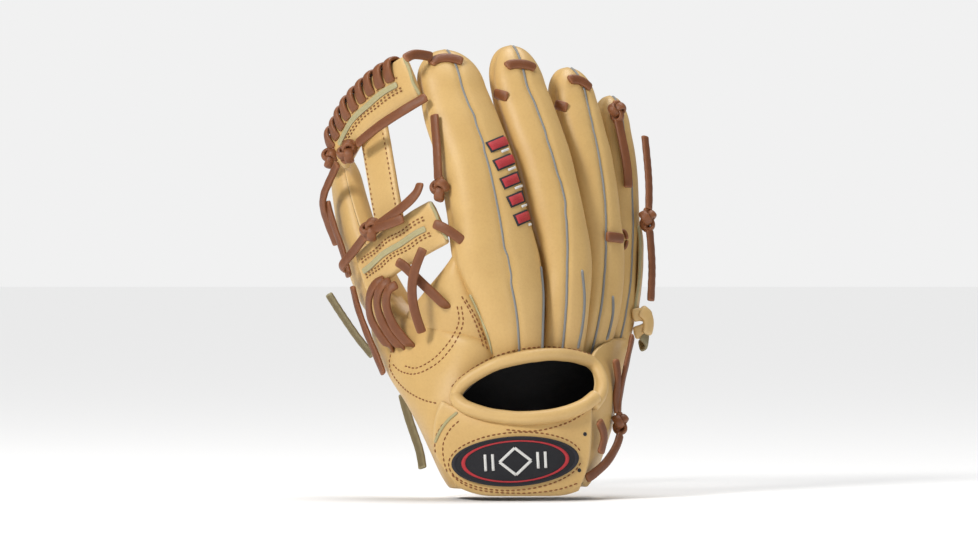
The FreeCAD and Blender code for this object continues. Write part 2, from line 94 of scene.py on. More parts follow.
WELTS = {
    "index": [(-31, 247), (-21, 220), (-15, 197), (-10.5, 175), (-6, 152), (-2.5, 133), (0.6, 114), (2, 96),
              (2.5, 84)],
    "middle": [(8, 251), (17, 228), (24, 205), (30.5, 183), (32, 160), (32, 141), (31.5, 118), (29, 84)],
    "ring": [(46, 243), (51.5, 216), (55, 194), (57, 175), (57, 160), (56, 137), (53.5, 114), (47.5, 86)],
    "pinky": [(70, 222), (74, 196), (75, 175), (74.5, 150), (72, 122), (65, 88)],
}
STALL_BODIES = {"index": "palm", "middle": "palm", "ring": "outer_side", "pinky": "outer_side"}
STALL_BOTTOMS = {"index": 81.0, "middle": 82.0, "ring": 81.5, "pinky": 87.0}
SHELL_THICK = 2.6
ROLL_RADIUS = 3.4
WINDINGS = 9
LACE_WIDE, LACE_THICK = 6.2, 2.6
TAIL = 6.0


# ================================================================ small tools
def to_m(points):
    return [Vector(p) * MM for p in points]


def catmull(points, t):
    """The smooth curve through points, at t from 0 to their count less one."""
    last = len(points) - 1
    i = min(max(int(t), 0), last - 1)
    u = t - i
    p1, p2 = points[i], points[i + 1]
    p0 = points[i - 1] if i > 0 else p1 * 2 - p2
    p3 = points[i + 2] if i + 2 <= last else p2 * 2 - p1
    return (p1 * 2 + (p2 - p0) * u + (p0 * 2 - p1 * 5 + p2 * 4 - p3) * u * u
            + (p1 * 3 - p0 - p2 * 3 + p3) * u ** 3) * 0.5


def resampled(points, count):
    """Evenly spaced points on the smooth curve through points."""
    points = [Vector(p) for p in points]
    fine = [catmull(points, (len(points) - 1) * i / (12 * len(points))) for i in range(12 * len(points) + 1)]
    runs = [0.0]
    for a, b in zip(fine, fine[1:]):
        runs.append(runs[-1] + (b - a).length)
    found, k = [], 0
    for i in range(count):
        want = runs[-1] * i / (count - 1)
        while k < len(runs) - 2 and runs[k + 1] < want:
            k += 1
        span = runs[k + 1] - runs[k]
        found.append(fine[k].lerp(fine[k + 1], (want - runs[k]) / span if span > 0 else 0))
    return found


def smooth_between(rows, level):
    """Values at a level on the smooth curve through rows of (level, value, ...)."""
    count = len(rows)
    i = max(k for k in range(count - 1) if rows[k][0] <= level or k == 0)
    low, high = rows[i], rows[i + 1]
    before = rows[i - 1] if i > 0 else [2 * p - q for p, q in zip(low, high)]
    after = rows[i + 2] if i + 2 < count else [2 * q - p for p, q in zip(low, high)]
    span = high[0] - low[0]
    t = (level - low[0]) / span
    values = [level]
    for k in range(1, len(low)):
        rise_low = (high[k] - before[k]) / (high[0] - before[0]) * span
        rise_high = (after[k] - low[k]) / (after[0] - low[0]) * span
        values.append((2 * t ** 3 - 3 * t ** 2 + 1) * low[k] + (t ** 3 - 2 * t ** 2 + t) * rise_low
                      + (3 * t ** 2 - 2 * t ** 3) * high[k] + (t ** 3 - t ** 2) * rise_high)
    return tuple(values)


def unevenness(p, size, high):
    """A soft hand-made unevenness of leather over padding, in the units of high."""
    return noise.noise(Vector(p) / size) * high


# ================================================================ mesh builders
def skin_mesh(rows, closed=False, pole=None):
    """A skin: the first row's edges, extruded row by row; a pole point closes the far end."""
    bm = bmesh.new()
    verts = [bm.verts.new(Vector(p) * MM) for p in rows[0]]
    edges = [bm.edges.new(pair) for pair in zip(verts, verts[1:])]
    if closed:
        edges.append(bm.edges.new((verts[-1], verts[0])))
    for row in rows[1:]:
        out = bmesh.ops.extrude_edge_only(bm, edges=edges)["geom"]
        fresh = {g for g in out if isinstance(g, bmesh.types.BMVert)}
        edges = [g for g in out if isinstance(g, bmesh.types.BMEdge)]
        verts = [next(e.other_vert(v) for e in v.link_edges if e.other_vert(v) in fresh) for v in verts]
        for v, p in zip(verts, row):
            v.co = Vector(p) * MM
    if pole is not None:
        bmesh.ops.pointmerge(bm, verts=verts, merge_co=Vector(pole) * MM)
    bmesh.ops.recalc_face_normals(bm, faces=bm.faces)
    return bm


def face_out(bm, away):
    """Turns a sheet's faces to look along away, on the whole."""
    total = sum((f.normal * f.calc_area() for f in bm.faces), Vector())
    if total.dot(Vector(away)) < 0:
        bmesh.ops.reverse_faces(bm, faces=bm.faces)


def leather_object(name, bm, materials, body, nodes=(), smooth=True):
    mesh = bpy.data.meshes.new(name)
    bm.to_mesh(mesh)
    bm.free()
    piece = bpy.data.objects.new(name, mesh)
    bpy.context.scene.collection.objects.link(piece)
    for material in materials:
        mesh.materials.append(material)
    mesh.shade_smooth() if smooth else mesh.shade_flat()
    if nodes:
        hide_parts(*nodes)
    if body:
        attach(piece, body)
    return piece


def give_wall(piece, thick=SHELL_THICK, inner_material=1, levels=1, rim=0.0):
    """A leather wall behind a skin, with its lining on the inside, then one subdivision."""
    wall = piece.modifiers.new("wall", "SOLIDIFY")
    wall.thickness = thick * MM
    wall.offset = -1
    wall.use_even_offset = True
    wall.material_offset = inner_material
    wall.material_offset_rim = 2 if len(piece.data.materials) > 2 else 0
    if levels:
        soft = piece.modifiers.new("soft", "SUBSURF")
        soft.levels = soft.render_levels = levels


def strap_profile(wide, thick, crown=0.0):
    """A flat strap's section, its corners rounded, as (across, up) places."""
    w, t = wide / 2, thick / 2
    r = min(w, t) * 0.55
    return [(-w + r, -t), (0, -t), (w - r, -t), (w, -t + r), (w, t - r), (w - r, t), (0, t + crown), (-w + r, t),
            (-w, t - r), (-w, -t + r)]


def sweep(points, faces, profile, twist=0.0):
    """Closed rings of a profile carried along points, whose broad side looks the way faces say."""
    rows = []
    for i, p in enumerate(points):
        ahead = (points[min(i + 1, len(points) - 1)] - points[max(i - 1, 0)]).normalized()
        face = faces[i] if isinstance(faces, list) else faces
        across = ahead.cross(face).normalized()
        up = across.cross(ahead).normalized()
        if twist:
            turn = Matrix.Rotation(twist * math.sin(i * 0.9), 3, ahead)
            across, up = turn @ across, turn @ up
        rows.append([p + across * u + up * v for u, v in profile])
    return rows


def closed_sweep(rows):
    """Swept rings as a mesh with both ends filled."""
    bm = skin_mesh(rows, closed=True)
    bmesh.ops.holes_fill(bm, edges=[e for e in bm.edges if e.is_boundary])
    bmesh.ops.recalc_face_normals(bm, faces=bm.faces)
    return bm


def add_soft(piece, levels=1):
    soft = piece.modifiers.new("soft", "SUBSURF")
    soft.levels = soft.render_levels = levels
    return piece


def strip_mesh(drawn, face, wide=LACE_WIDE, thick=LACE_THICK, step=2.5, crown=0.25, wave=0.06):
    """A flat lace through drawn points; face is one way, or one for each drawn point."""
    drawn = [Vector(p) for p in drawn]
    length = sum((b - a).length for a, b in zip(drawn, drawn[1:]))
    count = max(4, round(length / step))
    points = resampled(drawn, count)
    if isinstance(face[0], (tuple, list, Vector)):
        ways = resampled(face, count)
    else:
        ways = [Vector(face)] * count
    return closed_sweep(sweep(points, ways, strap_profile(wide, thick, crown), wave))


def join_meshes(parts):
    """One bmesh of several."""
    whole = bmesh.new()
    for bm in parts:
        mesh = bpy.data.meshes.new("part")
        bm.to_mesh(mesh)
        bm.free()
        whole.from_mesh(mesh)
        bpy.data.meshes.remove(mesh)
    return whole


def surface_of(*pieces):
    """A search tree over the finished surface of some pieces."""
    bpy.context.view_layer.update()
    graph = bpy.context.evaluated_depsgraph_get()
    verts, faces = [], []
    for piece in pieces:
        done = piece.evaluated_get(graph)
        mesh = done.to_mesh()
        base = len(verts)
        verts += [v.co.copy() for v in mesh.vertices]
        faces += [[base + k for k in f.vertices] for f in mesh.polygons]
        done.to_mesh_clear()
    return BVHTree.FromPolygons(verts, faces)


def onto(surface, places, step, way=(0, 1, 0)):
    """Points and normals where a drawn (x, z) line falls on a surface seen along way, a step apart."""
    way = Vector(way).normalized()
    line = [Vector((x, 0, z)) for x, z in places]
    length = sum((b - a).length for a, b in zip(line, line[1:]))
    found = []
    for p in resampled(line, max(2, round(length / step) + 1)):
        hit, normal, _, _ = surface.ray_cast(p * MM - way * 0.4, way)
        if hit is not None:
            found.append((hit / MM, normal if normal.dot(way) < 0 else -normal))
    return found


# ================================================================ materials
def node_group(name, inputs, outputs, build):
    """A shader group with named sockets, built once."""
    group = bpy.data.node_groups.new(name, "ShaderNodeTree")
    for socket, kind, value in inputs:
        made = group.interface.new_socket(socket, in_out="INPUT", socket_type=kind)
        if value is not None:
            made.default_value = value
    for socket, kind in outputs:
        group.interface.new_socket(socket, in_out="OUTPUT", socket_type=kind)
    build(group, group.nodes.new("NodeGroupInput"), group.nodes.new("NodeGroupOutput"))
    return group


def math_node(group, operation, a, b):
    node = group.nodes.new("ShaderNodeMath")
    node.operation = operation
    for socket, value in zip(node.inputs, (a, b)):
        if isinstance(value, (int, float)):
            socket.default_value = value
        elif value is not None:
            group.links.new(value, socket)
    return node.outputs[0]


def build_grain(group, given, out):
    """Fine pebbled grain with pores, and slow cloudy tone from the hide."""
    cells = group.nodes.new("ShaderNodeTexVoronoi")
    cells.feature = "DISTANCE_TO_EDGE"
    fine = group.nodes.new("ShaderNodeTexNoise")
    fine.inputs["Detail"].default_value = 4
    cloud = group.nodes.new("ShaderNodeTexNoise")
    cloud.inputs["Detail"].default_value = 3
    for node in (cells, fine, cloud):
        group.links.new(given.outputs["Vector"], node.inputs["Vector"])
    group.links.new(given.outputs["Scale"], cells.inputs["Scale"])
    group.links.new(math_node(group, "MULTIPLY", given.outputs["Scale"], 0.45), fine.inputs["Scale"])
    group.links.new(math_node(group, "MULTIPLY", given.outputs["Scale"], 0.035), cloud.inputs["Scale"])
    pebble = math_node(group, "POWER", math_node(group, "MINIMUM", cells.outputs["Distance"], 0.35), 0.5)
    height = math_node(group, "ADD", math_node(group, "MULTIPLY", pebble, 0.7),
                       math_node(group, "MULTIPLY", fine.outputs["Fac"], 0.9))
    stretch = group.nodes.new("ShaderNodeMapping")
    stretch.inputs["Scale"].default_value = (45, 45, 260)
    crease = group.nodes.new("ShaderNodeTexNoise")
    crease.inputs["Scale"].default_value = 1.0
    crease.inputs["Detail"].default_value = 3
    group.links.new(given.outputs["Vector"], stretch.inputs["Vector"])
    group.links.new(stretch.outputs["Vector"], crease.inputs["Vector"])
    height = math_node(group, "ADD", height, math_node(group, "MULTIPLY", crease.outputs["Fac"], 1.8))
    group.links.new(height, out.inputs["Height"])
    group.links.new(cloud.outputs["Fac"], out.inputs["Cloud"])
    group.links.new(fine.outputs["Fac"], out.inputs["Fine"])


def build_wear_and_shade(group, given, out):
    """A mask of edges rubbed pale, and a mask of hollows for painted shade, from how sharply the surface turns."""
    turn = group.nodes.new("ShaderNodeNewGeometry")
    edge = math_node(group, "MULTIPLY", math_node(group, "SUBTRACT", turn.outputs["Pointiness"], 0.5),
                     given.outputs["Reach"])
    group.links.new(math_node(group, "MINIMUM", math_node(group, "MAXIMUM", edge, 0.0), 1.0), out.inputs["Rubbed"])
    # Hollows: where the surface turns inward, darkened later as painted shade.
    hollow_shade = math_node(group, "MULTIPLY", edge, -1.0)
    group.links.new(math_node(group, "MINIMUM", math_node(group, "MAXIMUM", hollow_shade, 0.0), 1.0), out.inputs["Hollow shade"])


GRAIN = node_group("leather grain", [("Vector", "NodeSocketVector", None), ("Scale", "NodeSocketFloat", 900.0)],
                   [("Height", "NodeSocketFloat"), ("Cloud", "NodeSocketFloat"), ("Fine", "NodeSocketFloat")],
                   build_grain)
WEAR_AND_SHADE = node_group("rubbed edges and painted hollow shade", [("Reach", "NodeSocketFloat", 10.0)],
                  [("Rubbed", "NodeSocketFloat"), ("Hollow shade", "NodeSocketFloat")], build_wear_and_shade)


def mix_colour(tree, share, a, b):
    """Colour a turned towards b by a share socket."""
    node = tree.nodes.new("ShaderNodeMix")
    node.data_type = "RGBA"
    tree.links.new(share, node.inputs["Factor"])
    for socket, value in ((node.inputs[6], a), (node.inputs[7], b)):
        if isinstance(value, tuple):
            socket.default_value = (*value, 1)
        else:
            tree.links.new(value, socket)
    return node.outputs[2]


def leather(name, base, dark_tone_and_shade, pale, grain_scale, bump, rough, sheen=0.0, wear_and_shade_reach=9.0, gloss=0.4):
    """A leather: cloudy hide colour, grain bump, rubbed pale edges and painted shade darkening its hollows."""
    material = bpy.data.materials.new(name)
    material.use_nodes = True
    tree = material.node_tree
    shader = tree.nodes["Principled BSDF"]
    shader.inputs["Specular IOR Level"].default_value = gloss
    shader.inputs["Sheen Weight"].default_value = sheen
    place = tree.nodes.new("ShaderNodeTexCoord")
    grain = tree.nodes.new("ShaderNodeGroup")
    grain.node_tree = GRAIN
    grain.inputs["Scale"].default_value = grain_scale
    tree.links.new(place.outputs["Object"], grain.inputs["Vector"])
    worn_and_shaded = tree.nodes.new("ShaderNodeGroup")
    worn_and_shaded.node_tree = WEAR_AND_SHADE
    worn_and_shaded.inputs["Reach"].default_value = wear_and_shade_reach
    spread = tree.nodes.new("ShaderNodeMapRange")
    spread.inputs["From Min"].default_value, spread.inputs["From Max"].default_value = 0.35, 0.65
    tree.links.new(grain.outputs["Cloud"], spread.inputs["Value"])
    hide = mix_colour(tree, spread.outputs["Result"], base, tuple(0.86 * c + 0.14 * d for c, d in zip(base, dark_tone_and_shade)))
    speck = tree.nodes.new("ShaderNodeMapRange")
    speck.inputs["From Min"].default_value, speck.inputs["From Max"].default_value = 0.42, 0.75
    speck.inputs["To Max"].default_value = 0.14
    tree.links.new(grain.outputs["Fine"], speck.inputs["Value"])
    hide = mix_colour(tree, speck.outputs["Result"], hide, dark_tone_and_shade)
    # Painted shade: hollows darkened towards the dark colour.
    hide = mix_colour(tree, worn_and_shaded.outputs["Hollow shade"], hide, dark_tone_and_shade)
    hide = mix_colour(tree, worn_and_shaded.outputs["Rubbed"], hide, pale)
    tree.links.new(hide, shader.inputs["Base Color"])
    dull = tree.nodes.new("ShaderNodeMapRange")
    dull.inputs["To Min"].default_value, dull.inputs["To Max"].default_value = rough - 0.08, rough + 0.1
    tree.links.new(grain.outputs["Fine"], dull.inputs["Value"])
    tree.links.new(dull.outputs["Result"], shader.inputs["Roughness"])
    relief = tree.nodes.new("ShaderNodeBump")
    relief.inputs["Strength"].default_value = bump
    relief.inputs["Distance"].default_value = 0.0004
    tree.links.new(grain.outputs["Height"], relief.inputs["Height"])
    tree.links.new(relief.outputs["Normal"], shader.inputs["Normal"])
    return material


# Each leather's second colour is its darker hide tone and also the painted shade in its hollows.
SHELL = leather("tan shell leather", (0.60, 0.39, 0.145), (0.38, 0.20, 0.06), (0.70, 0.51, 0.26), 1500, 0.22, 0.42)
LACE = leather("red-brown rawhide lace", (0.150, 0.045, 0.013), (0.045, 0.012, 0.005), (0.30, 0.115, 0.045), 1500,
               0.35, 0.42, wear_and_shade_reach=12)
OLIVE = leather("split side of a lace", (0.125, 0.088, 0.034), (0.05, 0.03, 0.01), (0.40, 0.36, 0.22), 1300,
                0.5, 0.7, wear_and_shade_reach=12)
RAW = leather("raw leather edge", (0.38, 0.34, 0.17), (0.20, 0.15, 0.06), (0.52, 0.47, 0.30), 1700, 0.6, 0.85)
WELT = leather("grey welting", (0.14, 0.145, 0.145), (0.03, 0.03, 0.03), (0.38, 0.38, 0.37), 1800, 0.4, 0.6)
THREAD = leather("brown sewing thread", (0.26, 0.095, 0.028), (0.16, 0.06, 0.02), (0.36, 0.16, 0.06), 4000, 0.4,
                 0.55, wear_and_shade_reach=0.5)
LINING = leather("black lining cloth", (0.010, 0.010, 0.012), (0.004, 0.004, 0.005), (0.03, 0.03, 0.035), 2600,
                 0.6, 0.8, sheen=0.2)
PATCH_BLACK = leather("black patch cloth", (0.012, 0.012, 0.016), (0.005, 0.005, 0.006), (0.03, 0.03, 0.04), 3000,
                      0.7, 0.7)
RED_SILK = leather("red embroidery", (0.42, 0.010, 0.020), (0.16, 0.004, 0.008), (0.6, 0.05, 0.06), 3500, 0.8, 0.5)
# White embroidery thread, also used for the painted glints on the index bars.
WHITE_SILK_AND_GLINT = leather("white embroidery and painted glint", (0.72, 0.72, 0.70), (0.35, 0.35, 0.34), (0.85, 0.85, 0.83), 3500, 0.8,
                     0.5)


# ================================================================ finger stalls
FULLNESS = 0.84         # below 1 the section is squarer than an ellipse
RING = 80


def filled(station):
    """A stall's section, its width let out low down until it presses on its neighbours."""
    low = min(max((185 - station[0]) / 60, 0.0), 1.0)
    return (*station[:3], station[3] + 0.5 + 1.3 * low, *station[4:])


def stall_station(name, level):
    rows, (tip_level, tip_x, tip_y) = STALLS[name], TIPS[name]
    last, first = rows[-1], rows[0]
    if level <= first[0]:
        lean = [(q - p) / (rows[1][0] - first[0]) for p, q in zip(first, rows[1])]
        drop = level - first[0]
        return filled((level, first[1] + lean[1] * drop, first[2] + lean[2] * drop, *first[3:]))
    if level <= last[0]:
        return filled(smooth_between(rows, level))
    last = filled(last)
    share = (level - last[0]) / (tip_level - last[0])
    shrink = math.sqrt(max(1 - share ** 2, 0.0))
    return (level, last[1] + (tip_x - last[1]) * share, last[2] + (tip_y - last[2]) * share,
            last[3] * shrink, last[4] * shrink, last[5])


def bare_point(station, angle):
    """A point of a stall's section; angle pi is its left edge, pi/2 the middle of its back, 0 its right edge."""
    level, cx, cy, a, b, facing = station
    turn = math.radians(facing)
    c, s = math.cos(angle), math.sin(angle)
    u = a * math.copysign(abs(c) ** FULLNESS, c)
    v = b * math.copysign(abs(s) ** FULLNESS, s)
    return Vector((cx + u * math.cos(turn) + v * math.sin(turn), cy + u * math.sin(turn) - v * math.cos(turn), level))


def welt_angle(name, level):
    """Where round the section the back's welt lies at a level."""
    line = sorted((z, x) for x, z in WELTS[name])
    level_in = min(max(level, line[0][0]), line[-1][0], STALLS[name][-1][0])
    x = smooth_between(line, level_in)[1]
    station = stall_station(name, level_in)
    angles = [math.pi * (1 - i / 90) for i in range(4, 87)]
    rightmost = max(angles, key=lambda t: bare_point(station, t).x)
    return min((t for t in angles if t >= rightmost), key=lambda t: abs(bare_point(station, t).x - x))


def stall_point(name, level, angle, welt=None):
    """A point of the finished stall skin: seams and the welt's groove pulled in, the leather slightly uneven."""
    station = stall_station(name, level)
    p = bare_point(station, angle)
    middle = Vector((station[1], station[2], level))
    inward = (middle - p).normalized() if (middle - p).length > 0.01 else Vector()
    pull = 0.0
    for seam in (0.0, math.pi):
        pull += 1.1 * math.exp(-((p - bare_point(station, seam)).length / 2.6) ** 2)
    if welt is not None:
        pull += 1.5 * math.exp(-((p - bare_point(station, welt)).length / 2.2) ** 2)
    fade = min(1.0, station[3] / 12)
    pull = pull * fade + unevenness(p, 22.0, 0.55) * fade + unevenness(p, 8.0, 0.14) * fade
    return p + inward * pull


def stall_skin(name):
    top, tip = STALLS[name][-1][0], TIPS[name][0]
    bottom = STALL_BOTTOMS[name]
    count = round((top - bottom) / 4)
    levels = [bottom + (top - bottom) * i / count for i in range(count + 1)]
    levels += [top + (tip - top) * math.sin(math.pi / 2 * k / 9) for k in range(1, 9)]
    rows = []
    for level in levels:
        welt = welt_angle(name, level) if name in WELTS else None
        rows.append([stall_point(name, level, math.pi - 2 * math.pi * i / RING, welt) for i in range(RING)])
    return skin_mesh(rows, closed=True, pole=(TIPS[name][1], TIPS[name][2], tip))


def make_stall(name):
    bm = stall_skin(name)
    nodes = [name + "_back", name + "_front"]
    piece = leather_object(name + "_stall", bm, [SHELL, LINING, LINING], STALL_BODIES[name], nodes)
    give_wall(piece)
    return piece


def make_welt(name):
    """A folded strip of welting that stands up out of the groove down a finger's back."""
    top, tip = STALLS[name][-1][0], TIPS[name][0]
    bottom = STALL_BOTTOMS[name] + 1
    levels = [bottom + (top - bottom) * i / 50 for i in range(50)]
    levels += [top + (tip - 0.4 - top) * math.sin(math.pi / 2 * k / 9) for k in range(9)]
    points, faces = [], []
    for level in levels:
        welt = welt_angle(name, level)
        p = stall_point(name, level, welt, welt)
        station = stall_station(name, level)
        out = (p - Vector((station[1], station[2], level))).normalized()
        steep = min(max((level - top) / (tip - top), 0.0), 1.0)
        out = (out * (1 - steep) + Vector((0, 0, 1)) * steep).normalized()
        points.append(p + out * 0.35)
        faces.append(out)
    profile = [(-0.95, -1.2), (-0.85, 0.35), (0, 0.75), (0.85, 0.35), (0.95, -1.2)]
    bm = closed_sweep(sweep(points, faces, profile))
    return add_soft(leather_object(name + "_welting", bm, [WELT], STALL_BODIES[name], [name + "_welt"]))


stalls = {name: make_stall(name) for name in ("index", "middle", "ring", "pinky")}
welts = {name: make_welt(name) for name in WELTS}

# ================================================================ thumb, crotch and palm
MITT_ROWS = [
    (2, [(-31, -24), (-38, -14), (-40.5, 2), (-38, 16), (-33, 27)]),
    (10, [(-38, -25), (-44, -14), (-46, 2), (-42.5, 18), (-34, 28)]),
    (22, [(-45, -25), (-49, -12), (-50.5, 4), (-46.5, 20), (-36, 29)]),
    (42, [(-47, -26), (-56, -14), (-60, 4), (-56, 22), (-37, 29)]),
    (56, [(-38, -27), (-54, -18), (-67, 0), (-66, 22), (-50, 30), (-35, 28)]),
    (70, [(-23, -23), (-41, -20), (-64, -3), (-78, 22), (-74, 40), (-52, 36), (-33, 23)]),
    (82, [(-7, -12), (-17, -18.5), (-34, -19.5), (-56, -3), (-75, 15), (-84, 42), (-68, 46), (-48, 31), (-32, 19)]),
    (92, [(-10, -11), (-21, -19.5), (-34, -19), (-52, -7), (-73, 12), (-86, 34), (-87, 54), (-72, 53), (-52, 34), (-34, 14)]),
    (99, [(-15, -10), (-26, -19.5), (-37, -17.5), (-52, -6), (-71, 13), (-87, 36), (-89, 57), (-75, 55), (-57, 36), (-40, 16)]),
    (105, [(-56, 1), (-70, 12), (-85, 31), (-92, 53), (-87, 63), (-76, 56), (-63, 40), (-56, 28)]),
]
CROTCH_ROWS = [
    [(-29, -9, 140), (-35.5, -19.5, 144), (-38, -14, 146), (-35, -3, 140)],
    [(-22, -9, 125), (-30.5, -20.5, 128), (-38, -21.5, 131), (-44.5, -17, 133), (-47, -8, 133), (-41, 4, 125)],
    [(-17, -10, 112), (-25, -20, 113), (-39, -19.5, 116), (-53.5, -10, 119), (-58, 1, 120), (-49, 17, 109)],
    [(-14, -10, 101), (-23, -18, 102), (-40, -15.5, 105), (-60, 0, 109), (-66, 11, 111), (-58, 29, 103)],
    [(-12, -6, 88), (-20, -14, 90), (-39, -11, 93), (-60, 6, 99), (-70, 23, 106), (-64, 39, 101)],
]


def dressed(points, big=0.6, small=0.15):
    """Points with the leather's slight unevenness, pushed across their row."""
    found = []
    for i, p in enumerate(points):
        ahead = points[min(i + 1, len(points) - 1)] - points[max(i - 1, 0)]
        side = Vector((ahead.y, -ahead.x, 0))
        side = side.normalized() if side.length > 1e-6 else Vector()
        found.append(p + side * (unevenness(p, 24.0, big) + unevenness(p, 8.0, small)))
    return found


def thumb_ring(level, count):
    """The thumb's section from its web-side edge round the back and the front to the same edge."""
    station = stall_station("thumb", level)
    middle = Vector((station[1], station[2], level))
    ring = []
    for i in range(count):
        share = i / (count - 1)
        angle = -0.16 + (2 * math.pi + 0.32) * share
        p = bare_point(station, angle)
        p += (p - middle).normalized() * 0.9 * max(0.0, (share - 0.9) / 0.1)
        pull = 0.6 * math.exp(-((p - bare_point(station, math.pi)).length / 3.0) ** 2)
        ring.append(p + (middle - p).normalized() * (pull * min(1, station[3] / 12)))
    return ring


def make_mitt():
    """Thumb stall and thumb panel in one skin: wide at the wrist, a finger above the crotch."""
    count, rows = 72, []
    lows = [(z, resampled([(x, y, z) for x, y in row], count)) for z, row in MITT_ROWS]
    lows += [(z, thumb_ring(z, count)) for z in (113, 121, 130, 140, 150, 160, 170, 180, 188)]
    for (z0, a), (z1, b) in zip(lows, lows[1:]):
        steps = max(1, round((z1 - z0) / 4))
        for s in range(steps):
            rows.append([p.lerp(q, s / steps) for p, q in zip(a, b)])
    top, tip = 188, TIPS["thumb"]
    rows += [thumb_ring(top + (tip[0] - top) * math.sin(math.pi / 2 * k / 8), count) for k in range(0, 8)]
    for _ in range(3):
        rows = [rows[0]] + [[(a + p * 2 + b) / 4 for a, p, b in zip(r0, r1, r2)]
                            for r0, r1, r2 in zip(rows, rows[1:], rows[2:])] + [rows[-1]]
    bm = skin_mesh([dressed(row) for row in rows], pole=(tip[1], tip[2], tip[0]))
    face_out(bm, (-1, -0.3, 0))
    piece = leather_object("thumb_mitt", bm, [SHELL, LINING, LINING], None,
                           ["thumb_back", "thumb_front", "wrist_side_panel", "thumb_base_panel"])
    give_wall(piece)
    return piece


def make_crotch():
    """The panel that rises beside the index finger and rolls over the crotch into the palm."""
    across = [resampled(row, 26) for row in CROTCH_ROWS]
    columns = [resampled([row[i] for row in across], 30) for i in range(26)]
    rows = [[column[k] for column in columns] for k in range(30)]
    bm = skin_mesh(rows)
    face_out(bm, (-0.6, -0.6, 0.6))
    piece = leather_object("crotch_panel", bm, [SHELL, LINING, SHELL], None)
    give_wall(piece, 2.2)
    return piece


PALM_ROWS = [
    (1, [(-36, 17), (-30, 25), (-14, 22.5), (8, 22.5), (29, 26), (40, 31), (44, 26)]),
    (5, [(-40, 18), (-34, 27), (-16, 24.5), (8, 24.5), (32, 29), (44, 35), (48, 29)]),
    (15, [(-44, 19), (-35.5, 28.5), (-15, 24.5), (9, 25), (34, 31.5), (49, 41), (53, 33)]),
    (32, [(-49, 19), (-36, 29.5), (-14, 24), (10, 25.5), (35, 33.5), (52.5, 47), (58, 38)]),
    (60, [(-67, 24), (-52, 32), (-32, 26), (-11, 20), (13, 25.5), (36, 41.5), (55, 59), (63.5, 47)]),
    (84, [(-82, 50), (-64, 45), (-45, 29), (-30, 19.5), (-10, 16.5), (16, 26.5), (38, 44.5), (57, 67), (68, 57)]),
    (100, [(-72, 54), (-58, 38), (-44, 19), (-31, 13), (-10, 14.5), (18, 26), (40, 45.8), (58.5, 70.5), (69, 63)]),
    (112, [(-54, 24), (-46, 14), (-38, 9.5), (-28, 9), (-11, 12.5), (19, 25.5), (41, 46.5), (59.5, 74), (70, 68)]),
    (126, [(-44, 5), (-39, 3), (-34, 2.5), (-27, 3.5), (-14, 9), (20, 24), (42, 45.5), (60, 75), (71, 73)]),
    (139, [(-38, -7), (-35, -5), (-31, -3), (-26, 0), (-17, 6), (20, 22.5), (42, 44.5), (59.5, 74), (70, 74)]),
    (145, [(-38, -11), (-35, -9), (-31, -7), (-26, -4), (-17, 3), (18, 19), (40, 41), (57, 70), (67, 72)]),
    (150, [(-37, -16), (-34, -14), (-30, -12), (-25, -9), (-17, -2), (15, 13), (37, 36), (54, 66), (64, 70)]),
]
OUTER_SPLIT = 81.0


def palm_bm(outer):
    """The palm's skin, or the part of it in front of the ring and little fingers."""
    count = 90
    table = [resampled([(x, y, z) for x, y in row], count) for z, row in PALM_ROWS]
    columns = [resampled([row[i] for row in table], 46) for i in range(count)]
    rows = [dressed([column[k] for column in columns], 0.9, 0.18) for k in range(46)]
    low = next(k for k in range(46) if rows[k][70].z > 86)
    edge = next(i for i in range(count) if rows[low][i].x + rows[low][i].y > OUTER_SPLIT)
    if outer:
        rows = [row[edge:] for row in rows[low:]]
        bm = skin_mesh(rows)
    else:
        bm = skin_mesh(rows)
        grid = [[p * MM for p in row[edge:]] for row in rows[low:]]
        cut = [f for f in bm.faces
               if any((f.calc_center_median() - (a + b) / 2).length < 0.4 * (c - a).length
                      for r0, r1 in zip(grid, grid[1:]) for a, c, b in zip(r0, r0[1:], r1[1:]))]
        bmesh.ops.delete(bm, geom=cut, context="FACES")
    face_out(bm, (0, 1, 0))
    return bm


def make_palm():
    main = leather_object("palm_skin", palm_bm(False), [SHELL, LINING, SHELL], None,
                          ["palm_leather", "palm_padding", "palm_lining"])
    outer = leather_object("outer_palm_skin", palm_bm(True), [SHELL, LINING, SHELL], None,
                           ["outer_palm_leather", "outer_palm_padding", "outer_palm_lining"])
    for piece in (main, outer):
        give_wall(piece, 7.5)
    return main, outer


mitt = make_mitt()
crotch = make_crotch()
palm_skin, outer_palm_skin = make_palm()

OUTER_ROWS = [
    (6, [(40, -23), (44, -14), (46, 0), (46, 16), (43, 30)]),
    (20, [(42, -22), (48, -14), (52, 0), (53.5, 16), (51, 37)]),
    (38, [(45, -21), (52, -12), (58, 2), (60, 20), (58.5, 42)]),
    (56, [(48, -18), (55, -8), (60.5, 6), (63, 26), (63, 50)]),
    (70, [(50, -9), (57, 2), (62, 16), (66, 36), (66, 60)]),
    (80, [(47, -3), (52, 3), (58, 12), (63.5, 25), (69, 44), (70, 66)]),
    (88, [(51, 5), (56, 13), (61, 22), (65.5, 34), (70.5, 48), (71, 67)]),
    (94, [(62, 24), (66, 32), (69.5, 42), (72.5, 53), (71.5, 68)]),
]


def make_outer_side():
    """The leather round the little finger's side of the wrist."""
    count = 34
    table = [resampled([(x, y, z) for x, y in row], count) for z, row in OUTER_ROWS]
    columns = [resampled([row[i] for row in table], 26) for i in range(count)]
    bm = skin_mesh([dressed([column[k] for column in columns]) for k in range(26)])
    face_out(bm, (1, -0.3, 0))
    piece = leather_object("outer_side_skin", bm, [SHELL, LINING, SHELL], "palm", ["outer_side_panel"])
    give_wall(piece)
    return piece


outer_side = make_outer_side()

